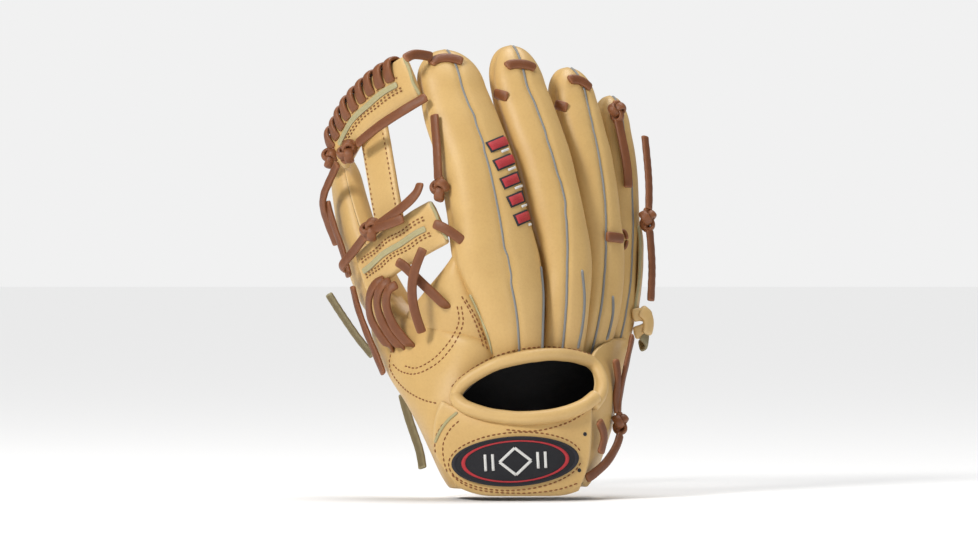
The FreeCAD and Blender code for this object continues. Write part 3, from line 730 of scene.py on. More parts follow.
# ================================================================ wrist strap and opening
STRAP_ROWS = [
    (-1.5, [(-37, -27), (-14, -33.5), (14, -33.5), (39, -26)]),
    (-0.5, [(-37.5, -29), (-14, -36), (14, -36), (40, -28.5)]),
    (3, [(-39, -30), (-15, -37), (14, -37), (41, -29.5)]),
    (14, [(-47, -27), (-18, -37.5), (14, -37.5), (45, -27)]),
    (30, [(-50.5, -26), (-18, -37.5), (14, -37.5), (47, -26)]),
    (40, [(-49, -27), (-18, -37), (14, -37), (47.5, -25.5)]),
    (47, [(-45, -27), (-18, -35), (14, -35.5), (47, -25)]),
]
RIM = [(-33, -29, 54), (-36.5, -26.5, 58.5), (-34.5, -26, 64), (-27, -27.5, 71), (-12, -28.5, 79), (6, -28, 83.5),
       (22, -22, 85), (37, -11, 83.5), (48, -3, 79), (53, -7, 69.5), (52, -14.5, 60), (47, -22, 53)]
ROLL = [(-36.5, -25.5, 60.5), (-35, -29, 57), (-29, -33, 52.6), (-16, -36, 48.6), (0, -37.5, 46.6), (14, -37, 46.9),
        (28, -34, 49), (40, -29, 53), (50, -22, 60)]


def round_profile(radius, sides=12, flat=1.0):
    return [(radius * math.cos(2 * math.pi * k / sides), radius * flat * math.sin(2 * math.pi * k / sides))
            for k in range(sides)]


def make_roll(name, drawn, radius, body, nodes, face):
    points = resampled(drawn, 60)
    rows = sweep(points, Vector(face), round_profile(radius, 14))
    rows = [[q + (q - p).normalized() * unevenness(q, 9.0, 0.3) for q in ring] for p, ring in zip(points, rows)]
    piece = leather_object(name, closed_sweep(rows), [SHELL], body, nodes)
    return add_soft(piece)


def strap_cut(p):
    """Moves a place on a straight strap to the cut one: its top edge dips, its lower corners are round."""
    high = max(0.0, (p.z - 26) / 20)
    low = max(0.0, 1 - p.z / 26)
    top = 9.5 * max(0.0, (p.x - 6) / 42) ** 1.6 + 13 * max(0.0, (-p.x - 6) / 42) ** 1.6 - 1.5
    foot = 12 * max(0.0, (-p.x - 14) / 33) ** 2 + 7 * max(0.0, (p.x - 24) / 23) ** 2
    return Vector((p.x, p.y, p.z + high * top + low * foot))


def make_strap():
    count = 50
    table = [resampled([(x, y, z) for x, y in row], count) for z, row in STRAP_ROWS]
    columns = [resampled([row[i] for row in table], 24) for i in range(count)]
    bm = skin_mesh([[strap_cut(p) for p in dressed([column[k] for column in columns], 0.3, 0.08)]
                    for k in range(24)])
    face_out(bm, (0, -1, 0))
    piece = leather_object("strap_skin", bm, [SHELL, LINING, SHELL], "strap", ["wrist_strap", "strap_lining"])
    give_wall(piece, 5.0)
    return piece


rim = make_roll("opening_rim", RIM, ROLL_RADIUS + 0.7, "palm", ["opening_binding"], (0, -1, 0))
strap = make_strap()
strap_roll = make_roll("strap_edge_roll", ROLL, ROLL_RADIUS + 1.0, "strap", ["strap_roll"], (0, -1, 0))

# ================================================================ web
TOP_BAR = [(-64, 3, 256), (-73, 9, 251), (-87, 20, 242.5), (-102, 36, 228), (-113, 53, 209)]
BOTTOM_BAR = [(-47, -23, 166.5), (-64, -13, 157), (-80, 2, 147), (-96, 22, 134)]
POST = [(-93, 29, 226), (-87, 17, 192), (-81, 8, 158)]
BAR_TALL, BAR_THICK, POST_WIDE = 29.0, 6.2, 25.0


def bar_frames(drawn, count):
    """Points down a bar's outer face, with its way up and the way it faces."""
    line = resampled(drawn, count)
    found = []
    for i, p in enumerate(line):
        ahead = (line[min(i + 1, count - 1)] - line[max(i - 1, 0)]).normalized()
        face = Vector((ahead.y, -ahead.x, 0)).normalized()
        face = face if face.y < 0 else -face
        up = ahead.cross(face).normalized()
        found.append((p, up if up.z > 0 else -up, face))
    return found


def make_bar(name, drawn, nodes):
    frames = bar_frames(drawn, 34)
    rows = []
    for i, (p, up, face) in enumerate(frames):
        ripple = unevenness(p, 14.0, 0.7)
        half = BAR_TALL / 2
        section = [(-half, -2.2), (-half + 0.8, -0.5), (-half + 5, 0.2), (-half * 0.45, 0.3), (-2.4, -0.1), (2.4, -0.1),
                   (half * 0.45, 0.3), (half - 5, 0.2), (half - 0.8, -0.5), (half, -2.2), (half, -4.4),
                   (half - 1, -BAR_THICK), (0, -BAR_THICK - 0.4), (-half + 1, -BAR_THICK), (-half, -4.4)]
        rows.append([p + up * (u + ripple * 0.5) + face * (v + ripple * 0.4) for u, v in section])
    piece = leather_object(name, closed_sweep(rows), [SHELL], None, nodes)
    return add_soft(piece)


def make_post():
    line = resampled(POST, 26)
    face = Vector((-0.72, -0.69, 0)).normalized()
    rows = []
    for p in line:
        ahead = (line[-1] - line[0]).normalized()
        across = ahead.cross(face).normalized()
        back = p - face * 7
        rows.append([back + across * u + face * (v + unevenness(p, 12, 0.3))
                     for u, v in strap_profile(POST_WIDE, 4.6, 0.3)])
    return add_soft(leather_object("web_post_strap", closed_sweep(rows), [SHELL], "thumb_side",
                                   ["web_post", "web_post_inner"]))


def raw_seam(name, drawn, start, end):
    """The folded bar's raw edge, a wavy pale strip along its middle."""
    frames = bar_frames(drawn, 40)[start:end]
    points = [p + up * (0.4 * math.sin(i * 0.4) - 0.5) + face * 0.75 for i, (p, up, face) in enumerate(frames)]
    faces = [face for p, up, face in frames]
    rows = sweep(points, faces, [(-2.0, -0.9), (-1.9, 0.1), (0.9, 0.5), (2.1, 0.25), (2.2, -0.9)])
    return add_soft(leather_object(name, closed_sweep(rows), [RAW], None))


def bar_stitches(drawn, offsets, start, end):
    """Places for stitches in rows along a bar."""
    frames = bar_frames(drawn, 120)[start:end]
    rows = []
    for offset in offsets:
        rows.append([(p + up * (offset + 0.5 * math.sin(i * 0.15)) + face * 0.5, face)
                     for i, (p, up, face) in enumerate(frames)])
    return rows


def winding_points(frame, slant):
    """One turn of lace over a bar's upper edge, with the way its broad side looks at each point."""
    p, up, face = frame
    top, clear = BAR_TALL / 2, LACE_THICK / 2 + 0.3
    ahead = up.cross(face).normalized()
    spots = [(-0.6, top - 11.5, face, -1.6), (clear, top - 7, face, -1.0), (clear + 0.2, top - 1, face, 0),
             (clear - 1.6, top + clear, face + up, 0.4), (-BAR_THICK / 2, top + clear + 0.6, up, 0.8),
             (-BAR_THICK - clear + 1.6, top + clear, up - face, 1.2), (-BAR_THICK - clear, top - 2, -face, 1.6),
             (-BAR_THICK - clear + 0.8, top - 8, -face, 2.0)]
    points = [p + face * out + up * high + ahead * (slant * shift) for out, high, way, shift in spots]
    return points, [way.normalized() for out, high, way, shift in spots]


def make_windings():
    frames = bar_frames(TOP_BAR, 41)
    turns = []
    for k in range(WINDINGS):
        points, faces = winding_points(frames[6 + 4 * k], 1.6)
        turns.append(strip_mesh(points, faces, 7.4, 2.6, step=1.8, wave=0.03, crown=0.5))
    return add_soft(leather_object("edge_windings", join_meshes(turns), [LACE], "thumb_side", ["web_edge_lacing"]))


top_bar = make_bar("top_web_strap", TOP_BAR, ["web_top_bar", "web_top_bar_inner"])
bottom_bar = make_bar("bottom_web_strap", BOTTOM_BAR, ["web_bottom_bar", "web_bottom_bar_inner"])
post = make_post()
top_seam = raw_seam("top_raw_seam", TOP_BAR, 5, 36)
bottom_seam = raw_seam("bottom_raw_seam", BOTTOM_BAR, 5, 38)
windings = make_windings()


def bar_ends():
    """The cut ends of the bars, where the raw leather shows pale."""
    edges = []
    for drawn in (TOP_BAR, BOTTOM_BAR):
        p, up, face = bar_frames(drawn, 34)[0]
        ahead = up.cross(face).normalized()
        ahead = ahead if ahead.x > 0 else -ahead
        points = [p + up * (BAR_TALL / 2 - 1.2) * t + face * (0.2 - 0.9 * t * t) + ahead * (0.1 + 0.5 * math.sin(5 * t))
                  for t in (-1, -0.7, -0.35, 0, 0.35, 0.7, 1)]
        edges.append(strip_mesh(points, face, 2.0, 1.2, step=2.5, wave=0.1))
    return add_soft(leather_object("bar_raw_ends", join_meshes(edges), [RAW], None))


bar_edge = bar_ends()

# ================================================================ laces and knots
FLAT_LACES = {
    "web_upper_lacing": ("thumb_side", "web_upper_lace", [
        ((-0.3, -0.95, 0), [(-68, -4, 266), (-63, 0, 269), (-57, 5, 269), (-51, 10, 268)]),
        ((-0.62, -0.78, 0.1), [(-54, -6, 243), (-62, -5, 238.5), (-72, -1, 232.5), (-84, 8, 225), (-98, 24, 214.5)])]),
    "web_lower_lacing": ("thumb_side", "web_lower_lace", [
        ((-0.68, -0.73, 0), [(-58, -21, 190), (-60, -22.5, 184), (-66, -20, 177.5), (-75, -12, 170.5), (-86, -1, 163)]),
        ((-0.7, -0.7, 0), [(-92, 7, 158), (-99, 18, 149), (-107, 29, 139.5), (-106, 34, 136)]),
        ((-0.6, -0.78, 0), [(-90, 4, 161), (-82, -6, 163.5), (-74, -14, 166), (-68, -17, 168.5)]),
        ((-0.3, -0.95, 0.1), [(-50, -24.5, 165), (-45, -27, 163), (-39, -28, 159.5), (-33, -27.5, 155),
                              (-31, -25, 153.5)])]),
    "thumb_loop_lacing": ("thumb_side", "thumb_loops", [
        ((-0.8, -0.6, 0.1), [(-80, 2, 131), (-86, 3, 128), (-90, 9, 119), (-89, 13, 107), (-83, 12, 96), (-78, 12, 90),
                             (-74, 18, 88)]),
        ((-0.7, -0.7, 0.1), [(-76, -2, 130), (-82, -2, 127), (-85, 4, 117), (-82, 7, 105), (-76, 6, 95),
                             (-71, 6, 90), (-66, 13, 88)]),
        ((-0.6, -0.8, 0.1), [(-72, -6, 128), (-78, -5, 124), (-79, 0, 114), (-75, 2, 103), (-69, 1, 95),
                             (-65, 1, 91), (-60, 9, 89)])]),
    "crossing_lacing": ("thumb_side", "crossing_lace", [
        ((-0.4, -0.92, 0), [(-73, -14, 142), (-68, -15, 139), (-57, -18.5, 128.5), (-47, -20.5, 119), (-43.5, -20, 115.5), (-41, -15, 113.5)])]),
    "thumb_edge_lacing": ("thumb_side", "thumb_edge_lace", [
        ((-0.9, -0.4, 0), [(-101, 37, 127), (-97.5, 37, 113), (-92, 32, 98), (-86, 25, 84), (-81, 20, 72)]),
        ((-0.9, -0.4, 0), [(-117, 52, 180), (-113, 50, 165), (-107, 45, 148), (-103, 40, 132)])]),
    "heel_lacing": ("palm", "heel_laces", [
        ((0.95, -0.2, 0), [(73, 30, 96), (70, 20, 83), (67, 14, 70), (64.5, 9.5, 57), (64, 7, 48)]),
        ((0.8, -0.5, 0), [(62, 8, 82), (63.5, 8, 70), (62.5, 6, 58), (63, 6, 48)]),
        ((0.8, -0.6, 0), [(51, -24, 45), (54.5, -19, 35), (52, -20, 24)]),
        ((0.75, -0.65, 0), [(65, 3, 36), (62, -5, 28), (56, -13, 19), (48, -20, 12), (43, -23, 9)])]),
}
KNOTS = {
    "index_knot": ("palm", (-46.5, -18.5, 186), (-0.81, -0.58, 0), (0, 0, 1), 6.2),
    "web_upper_knot": ("thumb_side", (-104, 31, 210), (-0.7, -0.7, 0), (-0.4, 0.4, -0.8), 6.4),
    "web_lower_knot": ("thumb_side", (-89, 3, 161.5), (-0.68, -0.73, 0), (-0.5, 0.5, -0.7), 6.4),
    "pinky_tip_knot": ("outer_side", (64.5, 71.5, 236), (0.43, -0.9, 0), (0, 0, 1), 5.6),
    "outer_knot": ("outer_side", (83.5, 62, 168), (0.8, -0.6, 0), (0, 0, 1), 6.0),
    "thumb_tip_knot": ("thumb_side", (-115.5, 55, 207), (-0.7, -0.7, 0), (0.2, -0.2, 1), 5.6),
    "heel_knot": ("palm", (65, 6, 42), (0.8, -0.6, 0), (0, 0, 1), 5.6),
}
TAILS = {
    "index_tail": ("palm", LACE, [(-47, -18, 191.5), (-47.5, -17.5, 203), (-48, -15.5, 214), (-49, -12.5, 224),
                                  (-49.5, -10, 232)], (-0.6, -0.8, 0)),
    "web_tail": ("thumb_side", LACE, [(-110, 36, 203), (-114, 42, 195), (-121, 52, 180), (-117, 57, 166),
                                      (-111, 57, 152)], (-0.75, -0.65, 0.1)),
    "crossing_tail": ("thumb_side", LACE, [(-56, -28, 150), (-61.5, -26.5, 138), (-63.5, -23, 124), (-61.5, -17, 110),
                                           (-57, -12, 98)], (-0.2, -0.97, 0.1)),
    "thumb_tail": ("thumb_side", OLIVE, [(-88, 37, 83), (-96, 39, 92), (-105, 41, 105), (-111, 41, 114),
                                         (-116, 41, 122)], (-0.6, -0.65, -0.4)),
    "wrist_tail": ("palm", OLIVE, [(-70, 32, 60), (-67, 29, 48), (-62, 22, 34), (-58, 15, 23), (-57, 12, 14)],
                   (-0.6, -0.8, 0)),
    "outer_upper_tail": ("outer_side", LACE, [(84, 62, 174.4), (84.5, 66, 185), (84, 70, 198), (83, 73, 210),
                                              (82, 77, 221)], (0.75, -0.65, 0)),
    "outer_lower_tail": ("outer_side", LACE, [(84.5, 61, 162), (85.5, 59, 150), (86, 56, 138), (85.5, 53, 127),
                                              (85, 52, 117)], (0.75, -0.65, 0)),
    "pinky_tail": ("outer_side", LACE, [(65, 70.5, 231), (67, 66.5, 221), (69.5, 62.5, 208), (71, 59.5, 197),
                                        (71, 58, 188)], (0.4, -0.9, 0)),
}


def knot_mesh(centre, face, along, size):
    """An overhand knot: a lace wound over and under itself, pulled tight."""
    face, along = Vector(face).normalized(), Vector(along).normalized()
    across = along.cross(face).normalized()
    face = across.cross(along).normalized()
    points, ways = [], []
    for k in range(34):
        t = 2 * math.pi * k / 33 * 0.985 + 0.4
        x = math.sin(t) + 2 * math.sin(2 * t)
        y = math.cos(t) - 2 * math.cos(2 * t)
        z = -math.sin(3 * t)
        p = across * x * 0.30 * size + along * y * 0.34 * size + face * z * 0.36 * size
        points.append(Vector(centre) + p)
        ways.append((p + face * 0.25 * size).normalized())
    wound = closed_sweep(sweep(points, ways, strap_profile(size * 0.95, size * 0.48, 0.35)))
    middle = Vector(centre) - face * 0.15 * size
    through = [middle + along * size * t for t in (-1.35, -0.7, 0, 0.7, 1.35)]
    return join_meshes([wound, strip_mesh(through, face, 5.6, 2.6)])


def make_flat_laces(name, body, node, runs):
    bm = join_meshes([strip_mesh(route, face) for face, route in runs])
    return add_soft(leather_object(name, bm, [LACE], body, [node]))


def make_tail(name, body, material, drawn, face):
    """A free lace end: a flat strip carried along its own smooth route."""
    curve = bpy.data.curves.new(name + "_route", "CURVE")
    curve.dimensions = "3D"
    curve.resolution_u = 12
    spline = curve.splines.new("NURBS")
    spline.points.add(len(drawn) - 1)
    for point, p in zip(spline.points, drawn):
        point.co = (*(Vector(p) * MM), 1)
    spline.order_u = 3
    spline.use_endpoint_u = True
    holder = bpy.data.objects.new(name + "_route", curve)
    route_mesh = bpy.data.meshes.new_from_object(holder)
    path = [v.co.copy() for v in route_mesh.vertices]
    bpy.data.objects.remove(holder)
    bpy.data.meshes.remove(route_mesh)
    points = [p / MM for p in path]
    rows = sweep(points, Vector(face), strap_profile(TAIL, LACE_THICK, 0.25), 0.05)
    piece = leather_object(name + "_end", closed_sweep(rows), [material], body, [name])
    add_soft(piece)
    return piece


laces = {name: make_flat_laces(name, None if body == "thumb_side" else body, node, runs)
         for name, (body, node, runs) in FLAT_LACES.items()}
for name, (body, centre, face, along, size) in KNOTS.items():
    add_soft(leather_object(name + "_tied", knot_mesh(centre, face, along, size), [LACE], body, [name] if name in frame["nodes"] else []))
for name, (body, material, drawn, face) in TAILS.items():
    make_tail(name, body, material, drawn, face)


def lace_over(stall, route, lift=1.1):
    """A short bar of lace on a finger's back, through (x, level) places."""
    points, faces = [], []
    for x, level in route:
        station = stall_station(stall, level)
        angles = [math.pi * (1 - i / 60) for i in range(1, 58)]
        rightmost = max(angles, key=lambda t: bare_point(station, t).x)
        angle = min((t for t in angles if t >= rightmost), key=lambda t: abs(bare_point(station, t).x - x))
        p = bare_point(station, angle)
        out = (p - Vector((station[1], station[2], level))).normalized()
        out = (out + Vector((0, 0, max(0.0, (level - STALLS[stall][-1][0]) / 30)))).normalized()
        points.append(p + out * lift)
        faces.append(out)
    return strip_mesh(points, faces, 6.4, 2.6, step=2.0)


def make_tip_laces():
    near = [lace_over("index", [(-52, 263), (-48, 266), (-42, 267), (-36, 266), (-33, 264.5)]),
            lace_over("middle", [(-5, 262), (-3, 263.5), (4, 264), (10, 262.5), (12, 261)]),
            lace_over("middle", [(-12, 246), (-8, 245), (-4, 243.5)])]
    add_soft(leather_object("fingertip_lacing", join_meshes(near), [LACE], "palm", ["finger_tip_laces"]))
    far = [lace_over("ring", [(34, 254.5), (36, 255.5), (41, 254.5), (45, 252), (47, 250)]),
           lace_over("ring", [(25, 240), (29, 239), (33, 237.5)]),
           lace_over("ring", [(56, 157.5), (60, 157), (64, 156.5), (66, 156)]),
           strip_mesh([(67 + 2.9 * math.cos(a), 46.5, 155.5 + 6.2 * math.sin(a))
                       for a in (2 * math.pi * k / 12 for k in range(13))], (0.2, -0.98, 0), 2.6, 3.2, step=1.8)]
    add_soft(leather_object("outer_tip_lacing", join_meshes(far), [LACE], "outer_side", ["outer_tip_laces"]))


make_tip_laces()


def make_outer_band():
    """The folded edge of the palm leather on the little finger's side, with its pale raw rim."""
    table = [(108, [(75.5, 46), (77.5, 56), (74.5, 68)]), (125, [(78.5, 51), (79.5, 62), (76, 73)]),
             (141, [(80, 56), (80.8, 67), (77.5, 78)]), (156, [(80, 61), (80.8, 72), (77.5, 83)]),
             (165, [(78.5, 64), (79.5, 74), (76.5, 84)])]
    rows = [resampled([(x, y, z) for x, y in row], 14) for z, row in table]
    columns = [resampled([row[i] for row in rows], 20) for i in range(14)]
    bm = skin_mesh([dressed([c[k] for c in columns], 0.5) for k in range(20)])
    face_out(bm, (1, -0.3, 0))
    piece = leather_object("outer_edge_band", bm, [SHELL, SHELL, RAW], "outer_side", ["outer_band"])
    give_wall(piece, 2.6)
    ways = [(0.3, -0.9, 0), (0.6, -0.8, 0), (1, -0.2, 0), (0.9, 0.5, 0), (0.3, 1, 0)]
    knot = [strip_mesh([(73, 44, 108), (79, 46, 109), (84, 51, 106), (84, 57, 101), (79, 61, 98)], ways, 8.5, 3.0),
            strip_mesh([(74, 45, 97), (80, 46.5, 99), (84, 51, 103), (83.5, 57, 108), (78, 60, 111)], ways, 8.5, 3.0),
            strip_mesh([(78, 45, 112), (82.5, 46.5, 108), (83.5, 47, 102), (82, 46.5, 96)], (0.75, -0.65, 0), 9, 3.4)]
    split = strip_mesh([(79, 46, 97), (82, 48, 94), (82, 52, 91), (78, 57, 89)],
                       [(0.6, -0.8, 0), (0.8, -0.6, 0), (1, 0, 0), (0.7, 0.7, 0)], 8, 2.6)
    add_soft(leather_object("outer_wrap_split", split, [OLIVE], "outer_side"))
    add_soft(leather_object("outer_wrap", join_meshes(knot), [SHELL], "outer_side", ["outer_wrap_knot"]))


make_outer_band()

# ================================================================ pieces across the hinges: transforms baked, thumb laces attached
for piece in (mitt, crotch, palm_skin):
    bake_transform(piece)
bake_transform(outer_palm_skin)
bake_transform(bar_edge)
for piece in (top_bar, top_seam, laces["web_upper_lacing"]):
    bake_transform(piece)
for piece in (bottom_bar, bottom_seam, laces["web_lower_lacing"]):
    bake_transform(piece)
for piece in (laces["thumb_loop_lacing"], laces["thumb_edge_lacing"]):
    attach(piece, "thumb_side")
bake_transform(laces["crossing_lacing"])

# ================================================================ stitching
STITCH_LONG, STITCH_WIDE = 2.5, 1.0


def stitch_mesh(rows, long=STITCH_LONG, wide=STITCH_WIDE, pitch=3.3, lift=0.12):
    """Small sunk thread grains along rows of (point, normal)."""
    bm = bmesh.new()
    for row in rows:
        run, due = 0.0, pitch / 2
        for (a, na), (b, nb) in zip(row, row[1:]):
            span = (b - a).length
            while span > 0 and run + span >= due:
                share = (due - run) / span
                p, normal = a.lerp(b, share), na.lerp(nb, share).normalized()
                ahead = (b - a).normalized()
                across = normal.cross(ahead).normalized()
                turn = Matrix((across, ahead, normal)).transposed().to_4x4()
                size = Matrix.Diagonal((wide / 2, long / 2, wide * 0.42, 1))
                place = Matrix.Translation((p + normal * lift) * MM) @ turn @ size @ Matrix.Scale(MM, 4)
                bmesh.ops.create_uvsphere(bm, u_segments=6, v_segments=4, radius=1.0, matrix=place)
                due += pitch
            run += span
    return bm


def sew(name, body, rows, **given):
    rows = [row for row in rows if len(row) > 1]
    if not rows:
        return None
    return leather_object(name, stitch_mesh(rows, **given), [THREAD], body)


hand_surface = surface_of(mitt, crotch)
panel_rows = [onto(hand_surface, line, 1.0) for line in (
    [(-33, 115), (-32, 104), (-37, 92), (-47, 80), (-60, 73), (-70, 74), (-76, 79)],
    [(-35.5, 115), (-34.5, 105), (-39.5, 94), (-49, 83), (-60, 76.5), (-68, 77.5)],
    [(-33, 121), (-26.5, 109), (-22, 98), (-19, 88)],
    [(-30.5, 119), (-24, 107.5), (-19.6, 97), (-17, 88)],
    [(-76, 88), (-77.5, 78), (-74, 70), (-66, 62), (-56, 57), (-47, 55)])]
panel_sewing = sew("thumb_panel_sewing", None, panel_rows)
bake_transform(panel_sewing)

strap_surface = surface_of(strap)
sew("strap_sewing", "strap", [onto(strap_surface, line, 1.0) for line in (
    [(-44, 43), (-48, 36), (-49, 28), (-47, 18), (-43, 8), (-38, 3)],
    [(-34, 45), (-40, 39), (-44, 30), (-43, 18), (-39, 8)])])

sew("strap_edge_sewing", "strap", [onto(strap_surface, line, 1.0) for line in (
    [(-6, 39.5), (8, 38.5), (20, 40), (34, 44.5), (46, 52)],
    [(-39, 12), (-32, 6.5), (-21, 2.6), (-4, 1.0), (12, 1.2), (27, 3.2), (39, 7)])])
patch_line = [(40.6 * math.cos(a), 20.3 + 17.6 * math.sin(a) + 2.1 * math.cos(a))
              for a in (math.radians(d) for d in range(12, 352, 12))]
sew("patch_sewing", "strap", [onto(strap_surface, patch_line, 1.0)])
wrist_surface = surface_of(strap, mitt)


def on_strip(name, surface, line, material, body, wide, thick, lift, way=(0, 1, 0)):
    """A thin strip laid on a surface along a drawn (x, z) line."""
    hits = onto(surface, line, 2.0, way)
    bm = strip_mesh([p + n * lift for p, n in hits], [n for p, n in hits], wide, thick, wave=0.0, crown=0.1)
    return add_soft(leather_object(name, bm, [material], body))


on_strip("strap_raw_edge", strap_surface, [(-35, 50), (-41, 45), (-46, 38), (-49, 31)], RAW, "strap", 1.8, 1.0, 0.3)


def strap_eyelets():
    """Two small laced holes at the strap's free end."""
    bm = bmesh.new()
    for x, z in ((42.5, 36.5), (39, 14.5)):
        (p, normal), = onto(strap_surface, [(x, z), (x + 0.01, z)], 1.0)[:1]
        turn = normal.to_track_quat("Z", "Y").to_matrix().to_4x4()
        place = Matrix.Translation((p + normal * 0.1) * MM) @ turn @ Matrix.Diagonal((1.25, 1.25, 0.35, 1))
        bmesh.ops.create_uvsphere(bm, u_segments=16, v_segments=8, radius=MM, matrix=place)
    leather_object("strap_eyelets", bm, [LINING], "strap")


strap_eyelets()
finger_surface = surface_of(*stalls.values())
for name, body, line in (("index_crease", "palm", [(15.5, 139), (17, 122), (16.8, 105), (16.5, 88)]),
                         ("middle_crease", "palm", [(41, 137), (42.5, 120), (41.5, 104), (38.5, 88)]),
                         ("ring_crease", "outer_side", [(60.5, 121), (60.5, 110), (58.5, 100), (56.5, 93)])):
    on_strip(name, finger_surface, line, WELT, body, 1.9, 1.8, 0.1)
panel_edge = on_strip("panel_raw_edge", surface_of(mitt, crotch, stalls["index"]),
                      [(-27.5, 122), (-21, 108), (-16.5, 96), (-13.5, 85)], RAW, "palm", 2.2, 1.2, 0.3)
palm_surface = surface_of(palm_skin)
palm_way = (0, -1, 0)
sew("palm_heel_sewing", "palm", [onto(palm_surface, line, 1.0, palm_way) for line in (
    [(-33, 8), (-12, 7), (10, 7), (38, 9)], [(-33, 10.4), (-12, 9.4), (10, 9.4), (38, 11.4)])])
pocket_rows = [onto(palm_surface, line, 1.0, palm_way) for line in (
    [(-29, 128), (-36, 104), (-38, 80), (-32, 56), (-18, 38), (2, 30), (24, 32)],
    [(-26.5, 128), (-33.4, 104), (-35.4, 81), (-30, 58), (-17, 40.5), (2, 32.6), (23, 34.5)])]
pocket_sewing = sew("pocket_sewing", None, pocket_rows)
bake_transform(pocket_sewing)

back_surface = surface_of(stalls["index"], stalls["middle"], stalls["ring"], mitt, rim)


def rim_rows():
    line = resampled(RIM, 90)
    places = []
    for p in line[8:70]:
        away = (p - Vector((8, p.y, 62))).normalized()
        places.append((p.x + away.x * 5.0, p.z + away.z * 5.0))
    return onto(back_surface, places, 1.0)


sew("rim_sewing", "palm", [rim_rows()])

web_rows = bar_stitches(TOP_BAR, (3.4, -3.6, -5.6), 12, 100)
sew("top_bar_sewing", "thumb_side", web_rows, long=2.2)
web_rows = bar_stitches(BOTTOM_BAR, (4.6, 6.6, -4.0, -6.0), 12, 112)
sew("bottom_bar_sewing", "thumb_side", web_rows, long=2.2)
post_surface = surface_of(post)
post_way = (0.72, 0.69, 0)


def post_rows():
    rows = []
    line = resampled(POST, 60)
    face = Vector((-0.72, -0.69, 0)).normalized()
    for offset in (-9.8, 9.8):
        row = []
        for p in line[6:50]:
            ahead = (line[-1] - line[0]).normalized()
            across = ahead.cross(face).normalized()
            hit, normal, _, _ = post_surface.ray_cast((p + across * offset + face * 20) * MM, -face)
            if hit is not None:
                row.append((hit / MM, normal))
        rows.append(row)
    return rows


sew("post_sewing", "thumb_side", post_rows(), long=2.0)

# ================================================================ embroidery
PATCH_CENTRE, PATCH_HALF, PATCH_TILT = (0.0, 20.3), (37.6, 14.8), math.radians(3)


def patch_place(u, v, lift):
    """A place on the strap, from the patch's own middle, along and up it."""
    x = PATCH_CENTRE[0] + u * math.cos(PATCH_TILT) - v * math.sin(PATCH_TILT)
    z = PATCH_CENTRE[1] + u * math.sin(PATCH_TILT) + v * math.cos(PATCH_TILT)
    hit, normal, _, _ = strap_surface.ray_cast(Vector((x * MM, -0.2, z * MM)), Vector((0, 1, 0)))
    if hit is None:
        hit, normal = Vector((x * MM, -0.0335, z * MM)), Vector((0, -1, 0))
    return hit / MM + (normal if normal.y < 0 else -normal) * lift


def oval_ring(share_in, share_out, lift, name, material, sides=72):
    """A raised embroidered ring of the patch between two shares of its size."""
    rows = []
    for share, high in ((share_in, lift - 0.9), (share_in, lift), ((share_in + share_out) / 2, lift + 0.25),
                        (share_out, lift), (share_out, lift - 0.9)):
        rows.append([patch_place(PATCH_HALF[0] * share * math.cos(a), PATCH_HALF[1] * share * math.sin(a), high)
                     for a in (2 * math.pi * k / sides for k in range(sides))])
    bm = skin_mesh(rows, closed=True)
    face_out(bm, (0, -1, 0))
    return leather_object(name, bm, [material], "strap", ())


def make_patch():
    shares = (1.0, 1.0, 0.97, 0.85, 0.7, 0.5, 0.3, 0.12)
    rows = []
    for i, share in enumerate(shares):
        high = 0.0 if i == 0 else 1.3
        rows.append([patch_place(PATCH_HALF[0] * share * math.cos(a), PATCH_HALF[1] * share * math.sin(a), high)
                     for a in (2 * math.pi * k / 72 for k in range(72))])
    bm = skin_mesh(rows, closed=True, pole=patch_place(0, 0, 1.3))
    face_out(bm, (0, -1, 0))
    leather_object("strap_patch_ground", bm, [PATCH_BLACK], "strap", ["strap_patch"])
    oval_ring(0.955, 1.02, 1.5, "patch_border", PATCH_BLACK)
    oval_ring(0.80, 0.86, 1.5, "patch_red_ring", RED_SILK)
    diamond = [(0, 8.2), (9.5, 0), (0, -8.2), (-9.5, 0), (0, 8.2)]
    strips = []
    for (u0, v0), (u1, v1) in zip(diamond, diamond[1:]):
        line = [patch_place(u0 + (u1 - u0) * t / 6, v0 + (v1 - v0) * t / 6, 1.45) for t in range(7)]
        strips.append(strip_mesh(line, (0, -1, 0), 1.7, 0.7, step=1.5, wave=0.0))
    for side in (-1, 1):
        for k in range(2):
            line = [patch_place(side * (13.5 + 4.5 * k), -5.0 + 10.0 * t / 4, 1.45) for t in range(5)]
            strips.append(strip_mesh(line, (0, -1, 0), 1.7, 0.7, step=1.5, wave=0.0))
    leather_object("patch_diamond", join_meshes(strips), [WHITE_SILK_AND_GLINT], "strap", ())


make_patch()


def slanted_bars():
    """Plain slanted bars sewn down the index finger: black ground, red face, and white strips as painted glints."""
    surface = surface_of(stalls["index"])
    # bars_glint: short white strips that are painted highlights on the red bars.
    sets = {"bars_glint": (WHITE_SILK_AND_GLINT, 1.5, 0.8, 7.0), "bars_ground": (PATCH_BLACK, 7.6, 0.25, 0.0), "bars_face": (RED_SILK, 5.4, 0.55, 0.0)}
    for name, (material, wide, lift, shift) in sets.items():
        strips = []
        for k in range(5):
            x, z = -10.5 + 4.1 * k, 214 - 11.2 * k
            reach = 7.4 if name == "bars_ground" else 6.2
            reach = 2.6 if shift else reach
            x, z = x + shift * 0.55, z - shift * 0.62
            hits = onto(surface, [(x - reach * 0.8, z - reach * 0.35), (x, z), (x + reach * 0.8, z + reach * 0.35)],
                        1.5)
            points = [p + n * lift for p, n in hits]
            strips.append(strip_mesh(points, [n for p, n in hits], wide, 0.6, step=1.6, wave=0.0, crown=0.1))
        leather_object("index_" + name, join_meshes(strips), [material], "palm", ())


slanted_bars()


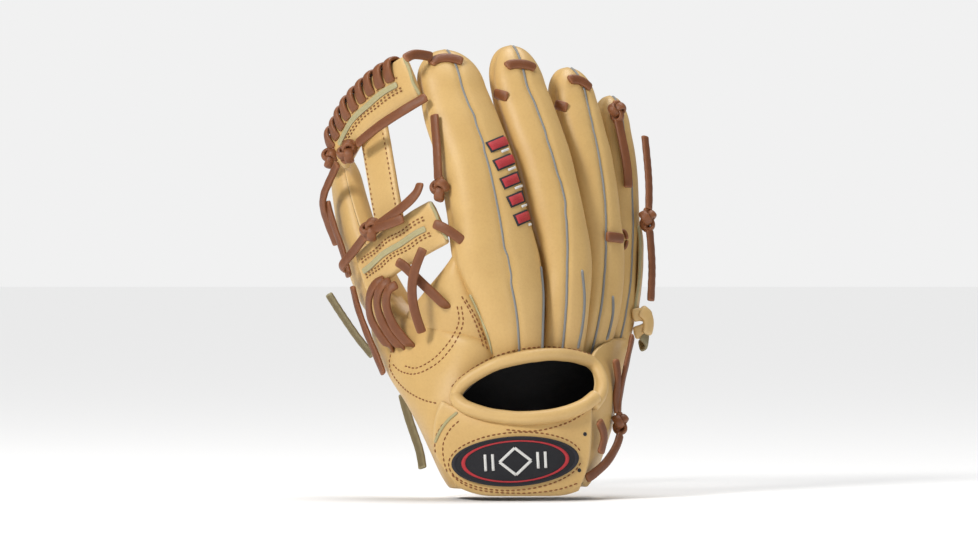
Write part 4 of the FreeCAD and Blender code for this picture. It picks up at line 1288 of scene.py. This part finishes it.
# ================================================================ studio
def light(name, place, size, power, aim, warm=(1, 1, 1)):
    lamp = bpy.data.lights.new(name, "AREA")
    lamp.energy, lamp.size, lamp.color = power, size, warm
    holder = bpy.data.objects.new(name, lamp)
    holder.location = place
    holder.rotation_euler = (Vector(aim) - Vector(place)).to_track_quat("-Z", "Y").to_euler()
    bpy.context.scene.collection.objects.link(holder)


def studio():
    scene = bpy.context.scene
    scene.view_settings.view_transform = "Standard"
    world = bpy.data.worlds.new("soft white")
    world.use_nodes = True
    shade = world.node_tree.nodes["Background"]
    shade.inputs["Color"].default_value = (1, 1, 1, 1)
    path = world.node_tree.nodes.new("ShaderNodeLightPath")
    seen = world.node_tree.nodes.new("ShaderNodeMapRange")
    seen.inputs["To Min"].default_value, seen.inputs["To Max"].default_value = 0.27, 0.88
    world.node_tree.links.new(path.outputs["Is Camera Ray"], seen.inputs["Value"])
    world.node_tree.links.new(seen.outputs["Result"], shade.inputs["Strength"])
    scene.world = world
    middle = (-0.02, 0.03, 0.14)
    light("key", (-1.05, -1.2, 1.2), 0.4, 26, middle, (1, 0.985, 0.96))
    light("fill", (1.4, -1.3, 0.3), 1.0, 3, middle)
    sky = bpy.data.lights.new("overhead", "SUN")
    sky.energy, sky.angle = 2.2, 0.6
    holder = bpy.data.objects.new("overhead", sky)
    holder.rotation_euler = (-0.25, 0.1, 0)
    scene.collection.objects.link(holder)
    floor = bpy.data.meshes.new("floor")
    bm = bmesh.new()
    bmesh.ops.create_grid(bm, x_segments=1, y_segments=1, size=60.0, matrix=Matrix.Translation((0, 0, -0.004)))
    bm.to_mesh(floor)
    bm.free()
    ground = bpy.data.objects.new("floor", floor)
    scene.collection.objects.link(ground)
    pale = bpy.data.materials.new("pale floor")
    pale.use_nodes = True
    pale.node_tree.nodes["Principled BSDF"].inputs["Base Color"].default_value = (0.9, 0.9, 0.9, 1)
    pale.node_tree.nodes["Principled BSDF"].inputs["Roughness"].default_value = 0.9
    floor.materials.append(pale)
    camera = bpy.data.cameras.new("camera")
    camera.lens = 200
    holder = bpy.data.objects.new("camera", camera)
    holder.location = (-0.016, -3.34, 0.1335)
    holder.rotation_euler = (math.radians(90), 0, 0)
    scene.collection.objects.link(holder)
    scene.camera = holder


studio()
